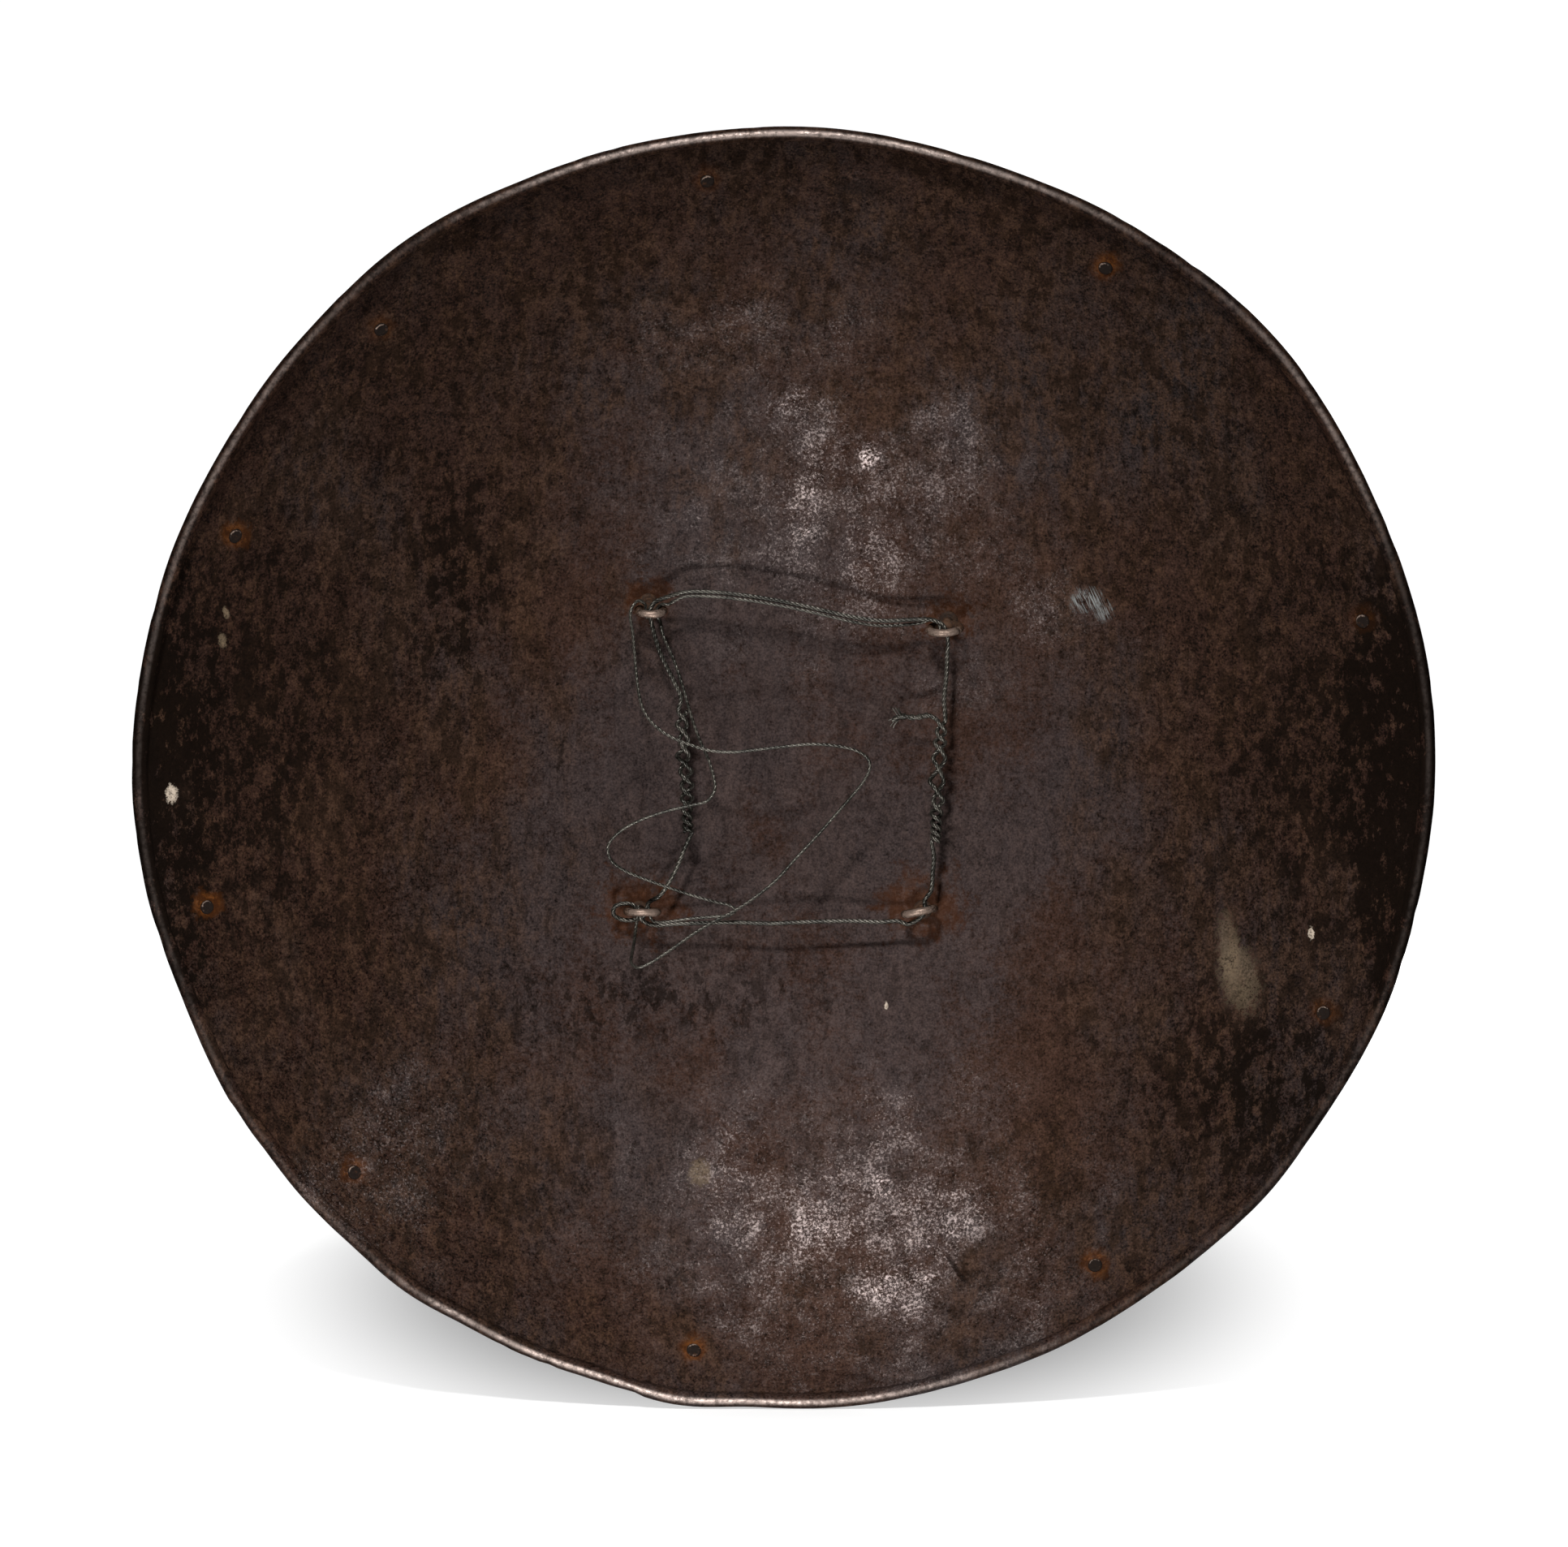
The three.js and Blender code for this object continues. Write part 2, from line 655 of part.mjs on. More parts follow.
const wireRoutes = {
  upper_wire: {
    diameter: strungDiameter,
    sides: strungSides,
    points: [
      ...twistPoints(rightTwist, false).reverse(),
      ...upperToRightTwist.map(standing).reverse(),
      ...throughEye(eyes.top_right, upperThroughTopRight),
      ...upperSpan.map(standing),
      ...throughEye(eyes.top_left, upperThroughTopLeft),
      ...upperToLeftTwist.map(standing),
      ...twistPoints(leftTwist, true),
    ],
  },
  lower_wire: {
    diameter: strungDiameter,
    sides: strungSides,
    points: [
      ...frayedStub.map(standing),
      ...twistPoints(rightTwist, true),
      ...lowerFromRightTwist.map(standing),
      ...throughEye(eyes.bottom_right, lowerThroughBottomRight),
      ...lowerSpan.map(standing),
      ...throughEye(eyes.bottom_left, lowerRoundBottomLeft),
      ...lowerToLeftTwist.map(standing),
      ...twistPoints(leftTwist, false).reverse(),
    ],
  },
  short_loose_wire: {
    diameter: looseDiameter,
    sides: looseSides,
    points: [
      ...throughEye(eyes.top_right, shortInTopRight),
      ...shortSpan.map(standing),
      ...throughEye(eyes.top_left, shortThroughTopLeft),
      ...shortLoop.map(standing),
      ...throughEye(eyes.bottom_left, shortIntoBottomLeft),
    ],
  },
  long_loose_wire: {
    diameter: looseDiameter,
    sides: looseSides,
    points: [
      ...throughEye(eyes.top_left, longInTopLeft),
      ...longLoop.map(standing),
      ...throughEye(eyes.bottom_left, longIntoBottomLeft),
    ],
  },
};

const shield = new THREE.Group();

function addPiece(name, geometry, material, frame) {
  const piece = new THREE.Mesh(geometry, material);
  piece.name = name;
  if (frame) {
    frame.decompose(piece.position, piece.quaternion, piece.scale);
  }
  shield.add(piece);
}

const bowlSteel = steel(steelColour, 0.5);
const eyeSteel = steel(eyeColour, 0.6);
const wireSteel = steel(wireColour, 0.55);

const eyeFrames = Object.values(eyes).map((eye) => eye.frame);
addPiece("dish", buildBowl(eyeFrames, rivetFrames), bowlSteel);

const rivet = rivetGeometry();
rivetFrames.forEach((frame, i) => addPiece(`rim_rivet_${i + 1}`, rivet, bowlSteel, frame));

const boss = bossGeometry();
for (const { place, frame } of Object.values(eyes)) {
  addPiece(`boss_${place.name}`, boss, bowlSteel, frame);
  addPiece(`eye_bolt_${place.name}`, eyeBoltGeometry(place), eyeSteel, frame);
}

for (const [name, { diameter, sides, points }] of Object.entries(wireRoutes)) {
  const line = smoothLine(points);
  addPiece(name, wireGeometry(line, diameter, sides), wireSteel);
  console.log(`${name}: least gap to itself ${leastGap(line, diameter).toFixed(2)} mm`);
}

// The shield hangs by the middle of its upper wire, which is the origin.
shield.position.copy(standing(upperSpan[Math.floor(upperSpan.length / 2)])).negate();

export default shield;
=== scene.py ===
"""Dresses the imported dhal: its beaten bowl, border rivets, bosses, eye bolts and picture wires.

Every piece is modelled in the shield's own millimetres, with the middle of the hollow face at
zero and the hollow facing -Y, and is then hung in the row frame by the middle of the upper wire.
"""

import logging
import math
import random
from dataclasses import dataclass, field
from enum import Enum

import bmesh
import bpy
import numpy as np
from mathutils import Matrix, Vector, noise


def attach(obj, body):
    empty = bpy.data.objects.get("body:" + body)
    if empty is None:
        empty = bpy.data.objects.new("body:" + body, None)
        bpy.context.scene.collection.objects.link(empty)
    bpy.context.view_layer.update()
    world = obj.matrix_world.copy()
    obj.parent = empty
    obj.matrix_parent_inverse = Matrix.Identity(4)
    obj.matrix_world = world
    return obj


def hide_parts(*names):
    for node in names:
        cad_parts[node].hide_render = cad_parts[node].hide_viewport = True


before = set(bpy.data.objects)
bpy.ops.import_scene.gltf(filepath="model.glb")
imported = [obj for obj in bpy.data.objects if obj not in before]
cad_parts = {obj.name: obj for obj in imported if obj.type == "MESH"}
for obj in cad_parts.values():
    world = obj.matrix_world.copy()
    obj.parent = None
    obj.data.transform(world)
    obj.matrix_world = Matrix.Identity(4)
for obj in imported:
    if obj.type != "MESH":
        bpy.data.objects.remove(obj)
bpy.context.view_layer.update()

log = logging.getLogger("dhal")

Colour = tuple[float, float, float]
Section = list[tuple[float, float]]


class WireKind(Enum):
    """The two picture wires that were used."""

    STRUNG = "strung"
    LOOSE = "loose"


# ---------------------------------------------------------------------------
# The shield's own form
# ---------------------------------------------------------------------------


@dataclass(frozen=True)
class EyePlace:
    """Where one eye bolt goes through the bowl, and how its loop differs from the others."""

    name: str
    degrees: float
    circle_share: float
    loop_share: float
    roll: float


@dataclass(frozen=True)
class BowlForm:
    """The raised sheet's curve, outline and unevenness, in millimetres."""

    rim_radius: float = 240.0
    depth: float = 83.0
    sheet: float = 1.4
    oval: float = 0.0112
    power: float = 4.0
    swells: tuple[tuple[float, float, float], ...] = (
        (8, 16, 0.003),
        (42, 18, 0.0095),
        (72, 16, -0.006),
        (98, 10, -0.0012),
        (125, 13, 0.007),
        (149, 13, -0.003),
        (180, 12, 0.0032),
        (201, 12, -0.0066),
        (216, 6, -0.0025),
        (234, 7, 0.0055),
        (247, 9, 0.0018),
        (260, 8, 0.0092),
        (277, 12, 0.003),
        (308, 14, -0.004),
        (328, 12, -0.0055),
        (347, 12, -0.002),
    )
    waves: tuple[tuple[float, float], ...] = ((74.0, 0.42), (31.0, 0.16), (14.0, 0.07))
    still_from: float = 222.0
    still_at: float = 233.0

    @property
    def ball(self) -> float:
        """Radius of the hollow face's curve."""
        return (self.rim_radius**2 + self.depth**2) / (2 * self.depth)

    def height(self, radius: float) -> float:
        """Height of the hollow face over its middle, at a distance from the axis.

        Args:
            radius: Distance from the axis.

        Returns:
            Zero at the middle and less towards the rim.
        """
        return math.sqrt(self.ball**2 - radius**2) - self.ball

    def swell(self, angle: np.ndarray, radius: np.ndarray) -> np.ndarray:
        """How far the outline is stretched at some places, as a factor.

        Args:
            angle: Angles round the axis, in radians.
            radius: Distances from the axis.

        Returns:
            One factor for each place.
        """
        share = -self.oval * np.sin(angle) ** 2
        turn = np.degrees(angle)
        for centre, half_width, rise in self.swells:
            away = np.abs((turn - centre + 180.0) % 360.0 - 180.0)
            bump = 0.5 + 0.5 * np.cos(np.pi * np.minimum(away / half_width, 1.0))
            share = share + rise * bump
        return 1.0 + share * (radius / self.rim_radius) ** self.power

    def point(self, radius: float, angle: float) -> Vector:
        """A point of the hollow face.

        Args:
            radius: Distance from the axis before the outline is stretched.
            angle: Angle round the axis, in radians.

        Returns:
            The point, in shield millimetres.
        """
        factor = float(self.swell(np.array([angle]), np.array([radius]))[0])
        across = radius * factor
        return Vector((across * math.cos(angle), self.height(radius), across * math.sin(angle)))

    def beaten(self, x: float, z: float) -> float:
        """How far the sheet stands off its true curve, towards the front.

        Args:
            x: Place across the shield.
            z: Place up the shield.

        Returns:
            The distance, in millimetres, which fades out at the hem.
        """
        off = 0.0
        for span, depth in self.waves:
            off += depth * noise.noise(Vector((x / span, depth * 40.0, z / span)))
        radius = math.hypot(x, z)
        fade = min(max((self.still_at - radius) / (self.still_at - self.still_from), 0.0), 1.0)
        return off * fade

    def seat(self, radius: float, degrees: float) -> Matrix:
        """A frame on the hollow face: x sideways, y square through the sheet, z up.

        Args:
            radius: Distance from the axis.
            degrees: Angle round the axis.

        Returns:
            The frame, moved with the beaten sheet.
        """
        angle = math.radians(degrees)
        step = self.sheet
        turn = step / radius
        across = self.point(radius, angle + turn) - self.point(radius, angle - turn)
        along = self.point(radius + step, angle) - self.point(radius - step, angle)
        through = across.cross(along).normalized()
        side = through.cross(Vector((0, 0, 1))).normalized()
        up = side.cross(through)
        here = self.point(radius, angle)
        here = here + through * self.beaten(here.x, here.z)
        made = Matrix((side, through, up)).transposed().to_4x4()
        made.translation = here
        return made


@dataclass(frozen=True)
class EyeForm:
    """The round bar eye and its shank, in millimetres."""

    circle_radius: float = 80.0
    loop: float = 14.5
    bar: float = 2.9
    stem: float = 3.0
    neck: float = 3.6
    shank: float = 4.4
    collar: float = 7.4
    collar_height: float = 1.1
    button: float = 8.6
    button_height: float = 2.6
    droop: float = 6.0
    places: tuple[EyePlace, ...] = (
        EyePlace("top_left", 131.6, 0.97, 0.86, -1.0),
        EyePlace("top_right", 39.4, 1.01, 1.0, -2.0),
        EyePlace("bottom_left", 227.0, 1.0125, 1.0, 2.0),
        EyePlace("bottom_right", -48.2, 0.99, 1.0, -12.0),
    )

    def frame(self, form: BowlForm, place: EyePlace) -> Matrix:
        """The seat of one eye bolt on the bowl."""
        return form.seat(self.circle_radius * place.circle_share, place.degrees)

    def loop_turn(self, place: EyePlace) -> Matrix:
        """Takes the middle of a loop that was made level at zero to its place on its neck.

        Args:
            place: The eye.

        Returns:
            The move from zero to the loop's middle, in the eye's own frame.
        """
        reach = self.stem + self.loop * place.loop_share / 2
        droop = Matrix.Rotation(math.radians(self.droop), 4, "X")
        out = Matrix.Translation((0, -reach, 0))
        return droop @ out @ Matrix.Rotation(math.radians(place.roll), 4, "Y")


FORM = BowlForm()
EYES = EyeForm()
UPPER_MIDDLE = (4.6, 58.1, 14.0)


def standing(place: tuple[float, float, float]) -> Vector:
    """The point that stands off the bowl at x, z by a distance towards the viewer.

    Args:
        place: x, z and the distance.

    Returns:
        The point, in shield millimetres.
    """
    x, z, off = place
    return Vector((x, FORM.height(math.hypot(x, z)) - off, z))


HANG = Matrix.Scale(0.001, 4) @ Matrix.Translation(-standing(UPPER_MIDDLE))


# ---------------------------------------------------------------------------
# Modelling steps
# ---------------------------------------------------------------------------


class Bench:
    """The modelling steps that the pieces share."""

    @staticmethod
    def clear() -> None:
        """Leaves object mode on, with nothing selected."""
        if bpy.context.object and bpy.context.object.mode != "OBJECT":
            bpy.ops.object.mode_set(mode="OBJECT")
        bpy.ops.object.select_all(action="DESELECT")

    @staticmethod
    def pick(piece: bpy.types.Object, *others: bpy.types.Object) -> None:
        """Selects the pieces, with the first one active.

        Args:
            piece: The piece that becomes the active one.
            *others: The pieces that are selected with it.
        """
        Bench.clear()
        for each in (piece, *others):
            each.select_set(True)
        bpy.context.view_layer.objects.active = piece

    @staticmethod
    def turned(name: str, section: Section, steps: int) -> bpy.types.Object:
        """Turns an open section, from axis to axis, into a closed skin about the Y axis.

        Args:
            name: Name of the new piece.
            section: Radius and height of each corner.
            steps: Number of steps round the axis.

        Returns:
            The turned piece.
        """
        Bench.clear()
        bpy.ops.mesh.primitive_circle_add(vertices=len(section), radius=1.0, fill_type="NOTHING")
        piece = bpy.context.active_object
        piece.name = name
        for vertex, (radius, height) in zip(piece.data.vertices, section):
            vertex.co = (radius, height, 0.0)
        bpy.ops.object.mode_set(mode="EDIT")
        bpy.ops.mesh.select_mode(type="EDGE")
        bpy.ops.mesh.select_all(action="DESELECT")
        mesh = bmesh.from_edit_mesh(piece.data)
        mesh.edges.ensure_lookup_table()
        ends = {0, len(section) - 1}
        for edge in mesh.edges:
            edge.select_set({vertex.index for vertex in edge.verts} == ends)
        bmesh.update_edit_mesh(piece.data)
        bpy.ops.mesh.delete(type="EDGE")
        bpy.ops.mesh.select_mode(type="VERT")
        bpy.ops.mesh.select_all(action="SELECT")
        bpy.ops.mesh.spin(steps=steps, angle=2 * math.pi, center=(0, 0, 0), axis=(0, 1, 0))
        bpy.ops.mesh.select_all(action="SELECT")
        bpy.ops.mesh.remove_doubles(threshold=0.001)
        bpy.ops.mesh.normals_make_consistent(inside=False)
        bpy.ops.object.mode_set(mode="OBJECT")
        return piece

    @staticmethod
    def modifier(piece: bpy.types.Object, kind: str, **settings: object) -> None:
        """Adds a modifier with its settings and applies it.

        Args:
            piece: The piece, in millimetres.
            kind: The modifier's type.
            **settings: Its settings, by name.
        """
        Bench.pick(piece)
        made = piece.modifiers.new(kind.lower(), kind)
        for key, value in settings.items():
            setattr(made, key, value)
        bpy.ops.object.modifier_apply(modifier=made.name)

    @staticmethod
    def joined(name: str, parts: list[bpy.types.Object]) -> bpy.types.Object:
        """Joins parts into one piece.

        Args:
            name: Name of the joined piece.
            parts: The parts, of which the first one stays.

        Returns:
            The joined piece.
        """
        Bench.pick(*parts)
        bpy.ops.object.join()
        parts[0].name = name
        return parts[0]

    @staticmethod
    def fused(piece: bpy.types.Object, grain: float, smoothing: int) -> None:
        """Makes one skin of the overlapping parts of a piece, as if they were forged together.

        Args:
            piece: The piece, in millimetres.
            grain: Size of the new faces.
            smoothing: Number of smoothing passes over the joints.
        """
        Bench.pick(piece)
        piece.data.remesh_voxel_size = grain
        bpy.ops.object.voxel_remesh()
        Bench.modifier(piece, "SMOOTH", factor=0.5, iterations=smoothing)

    @staticmethod
    def corners(piece: bpy.types.Object) -> np.ndarray:
        """Reads where the piece's points are.

        Args:
            piece: The piece.

        Returns:
            Its points, one row each.
        """
        place = np.empty(len(piece.data.vertices) * 3)
        piece.data.vertices.foreach_get("co", place)
        return place.reshape(-1, 3)

    @staticmethod
    def set_corners(piece: bpy.types.Object, place: np.ndarray) -> None:
        """Puts the piece's points at new places."""
        piece.data.vertices.foreach_set("co", place.reshape(-1))
        piece.data.update()

    @staticmethod
    def roughened(piece: bpy.types.Object, span: float, depth: float, seed: float) -> None:
        """Moves each point along its normal by a smooth random depth.

        Args:
            piece: The piece, in millimetres.
            span: Distance between hollows.
            depth: Greatest depth.
            seed: Tells this piece's pattern from the others'.
        """
        for vertex in piece.data.vertices:
            at = vertex.co / span + Vector((seed, seed * 0.7, -seed))
            vertex.co += vertex.normal * depth * noise.noise(at)
        piece.data.update()

    @staticmethod
    def attribute(piece: bpy.types.Object, name: str, values: np.ndarray) -> None:
        """Stores one number for each point of the piece."""
        made = piece.data.attributes.new(name, "FLOAT", "POINT")
        made.data.foreach_set("value", np.asarray(values, dtype=np.float32))

    @staticmethod
    def finish(
        piece: bpy.types.Object,
        node: str,
        slot: str,
        material: bpy.types.Material,
        smooth_degrees: float = 40.0,
    ) -> bpy.types.Object:
        """Hangs a finished piece in the row frame, dresses it and puts it in its node's place.

        Args:
            piece: The piece, in shield millimetres.
            node: The CAD node that it stands for.
            slot: The record's material slot; not used.
            material: Its finish.
            smooth_degrees: Edges sharper than this stay sharp.

        Returns:
            The piece.
        """
        piece.data.transform(HANG)
        Bench.pick(piece)
        bpy.ops.object.shade_smooth_by_angle(angle=math.radians(smooth_degrees))
        piece.data.materials.clear()
        piece.data.materials.append(material)
        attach(piece, "root")
        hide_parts(node)
        log.info("%s: %d faces, in place of %s", piece.name, len(piece.data.polygons), node)
        return piece


# ---------------------------------------------------------------------------
# Shader maths
# ---------------------------------------------------------------------------


class Value:
    """A shader socket that is added, multiplied and compared as in a formula."""

    def __init__(self, graph: "Graph", socket: bpy.types.NodeSocket) -> None:
        """Wraps a socket.

        Args:
            graph: The graph that it belongs to.
            socket: The socket, which an end node doesn't have.
        """
        self.graph = graph
        self.socket = socket

    def _math(self, operation: str, *others: "float | Value") -> "Value":
        """Adds one Math node."""
        return self.graph.node("ShaderNodeMath", {"operation": operation}, *others)

    def __add__(self, other: "float | Value") -> "Value":
        """Sum."""
        return self._math("ADD", self, other)

    __radd__ = __add__

    def __sub__(self, other: "float | Value") -> "Value":
        """Difference."""
        return self._math("SUBTRACT", self, other)

    def __rsub__(self, other: "float | Value") -> "Value":
        """Difference, with this value taken away."""
        return self._math("SUBTRACT", other, self)

    def __mul__(self, other: "float | Value") -> "Value":
        """Product."""
        return self._math("MULTIPLY", self, other)

    __rmul__ = __mul__

    def most(self, other: "float | Value") -> "Value":
        """The greater of two values."""
        return self._math("MAXIMUM", self, other)

    def least(self, other: "float | Value") -> "Value":
        """The smaller of two values."""
        return self._math("MINIMUM", self, other)

    def step(self, low: float, high: float) -> "Value":
        """A smooth step.

        Args:
            low: Where it is 0.
            high: Where it is 1. It may be the smaller of the two.

        Returns:
            The step, from 0 to 1.
        """
        settings = {"interpolation_type": "SMOOTHSTEP"}
        return self.graph.node(
            "ShaderNodeMapRange", settings, Value=self, **{"From Min": low, "From Max": high}
        )


class Graph:
    """One material's node tree, with short ways to the nodes that the finishes use."""

    def __init__(self, name: str) -> None:
        """Starts an empty material.

        Args:
            name: The material's name.
        """
        self.material = bpy.data.materials.new(name)
        self.material.use_nodes = True
        self.tree = self.material.node_tree
        self.tree.nodes.clear()

    def node(
        self,
        kind: str,
        settings: dict[str, object] | None = None,
        *values: object,
        output: int | str = 0,
        **named: object,
    ) -> Value:
        """Adds a node.

        Args:
            kind: The node's type.
            settings: The node's own settings, which are set before its sockets.
            *values: Values or links of the first sockets, in order.
            output: Which socket to return.
            **named: Values or links of sockets by name.

        Returns:
            The chosen output.
        """
        made = self.tree.nodes.new(kind)
        for key, value in (settings or {}).items():
            setattr(made, key, value)
        for index, value in enumerate(values):
            self._feed(made.inputs[index], value)
        for key, value in named.items():
            enabled = [socket for socket in made.inputs if socket.name == key and socket.enabled]
            self._feed(enabled[0], value)
        if isinstance(output, str):
            found = [socket for socket in made.outputs if socket.name == output and socket.enabled]
            return Value(self, found[0])
        shown = [socket for socket in made.outputs if socket.enabled]
        return Value(self, shown[output]) if shown else Value(self, None)

    def _feed(self, socket: bpy.types.NodeSocket, value: object) -> None:
        """Links a value to a socket, or sets the socket's own number.

        Args:
            socket: The socket of the new node.
            value: A link, a colour, a row of numbers or a number.
        """
        if isinstance(value, Value):
            self.tree.links.new(value.socket, socket)
        elif isinstance(value, tuple) and socket.type == "RGBA" and len(value) == 3:
            socket.default_value = (*value, 1.0)
        else:
            socket.default_value = value

    def vector(self, operation: str, *values: object, output: int | str = 0) -> Value:
        """Adds one Vector Math node."""
        return self.node("ShaderNodeVectorMath", {"operation": operation}, *values, output=output)

    def mix(self, share: "float | Value", low: object, high: object) -> Value:
        """Mixes two colours."""
        settings = {"data_type": "RGBA", "blend_type": "MIX"}
        return self.node("ShaderNodeMix", settings, Factor=share, A=low, B=high)

    def shade(self, colour: Value, by: Value) -> Value:
        """Multiplies a colour by a number."""
        grey = self.node("ShaderNodeCombineXYZ", None, by, by, by)
        return self.vector("MULTIPLY", colour, grey)

    def millimetres(self) -> Value:
        """Reads the place on the piece.

        Returns:
            The place, in shield millimetres.
        """
        place = self.node("ShaderNodeTexCoord", output="Object")
        scaled = self.vector("MULTIPLY", place, (1000.0, 1000.0, 1000.0))
        return self.vector("ADD", scaled, tuple(standing(UPPER_MIDDLE)))

    def grain(
        self,
        place: Value,
        span: float,
        detail: float = 3.0,
        rough: float = 0.55,
        shift: float = 0.0,
        stretch: tuple[float, float, float] = (1.0, 1.0, 1.0),
    ) -> Value:
        """Soft random noise.

        Args:
            place: Where it is read, in millimetres.
            span: Distance between its hills, in millimetres.
            detail: Number of finer layers.
            rough: Strength of the finer layers.
            shift: Tells this noise from the others.
            stretch: Factors that draw the hills out along an axis.

        Returns:
            A value round 0.5.
        """
        scale = tuple(1.0 / (span * factor) for factor in stretch)
        at = self.vector("MULTIPLY", place, scale)
        at = self.vector("ADD", at, (shift, shift * 1.7, -shift))
        return self.node(
            "ShaderNodeTexNoise", None, Vector=at, Scale=1.0, Detail=detail, Roughness=rough
        )

    def spot(
        self,
        place: Value,
        centre: tuple[float, float],
        half: tuple[float, float],
        turn: float = 0.0,
    ) -> Value:
        """How far out a place is in an oval of the shield's own plane: 0 within, 1 at the edge.

        Args:
            place: Where it is read, in millimetres.
            centre: x and z of the middle.
            half: Half width and half height.
            turn: Degrees by which the oval is turned.

        Returns:
            The distance as a share of the oval's own size.
        """
        flat = self.vector("MULTIPLY", place, (1.0, 0.0, 1.0))
        moved = self.vector("SUBTRACT", flat, (centre[0], 0.0, centre[1]))
        if turn:
            moved = self.node(
                "ShaderNodeVectorRotate",
                {"rotation_type": "Y_AXIS"},
                Vector=moved,
                Angle=math.radians(turn),
            )
        scaled = self.vector("MULTIPLY", moved, (1 / half[0], 0.0, 1 / half[1]))
        return self.vector("LENGTH", scaled, output="Value")

    def named(self, attribute: str) -> Value:
        """Reads a number that was stored on the piece's points."""
        return self.node("ShaderNodeAttribute", {"attribute_name": attribute}, output="Fac")

    def bump(self, height: Value, strength: float = 1.0) -> Value:
        """Turns a height in millimetres into a normal."""
        return self.node("ShaderNodeBump", None, Height=height, Strength=strength, Distance=0.001)

    def surface(self, **sockets: object) -> bpy.types.Material:
        """Ends the material with one Principled shader.

        Args:
            **sockets: Values or links of the shader's sockets, by name with _ for a space.

        Returns:
            The material.
        """
        named = {key.replace("_", " "): value for key, value in sockets.items()}
        shader = self.node("ShaderNodeBsdfPrincipled", None, **named)
        self.node("ShaderNodeOutputMaterial", None, shader)
        return self.material


# ---------------------------------------------------------------------------
# Finishes
# ---------------------------------------------------------------------------


@dataclass(frozen=True)
class Mark:
    """An oval place on the hollow face, in shield millimetres."""

    centre: tuple[float, float]
    half: tuple[float, float]
    turn: float = 0.0


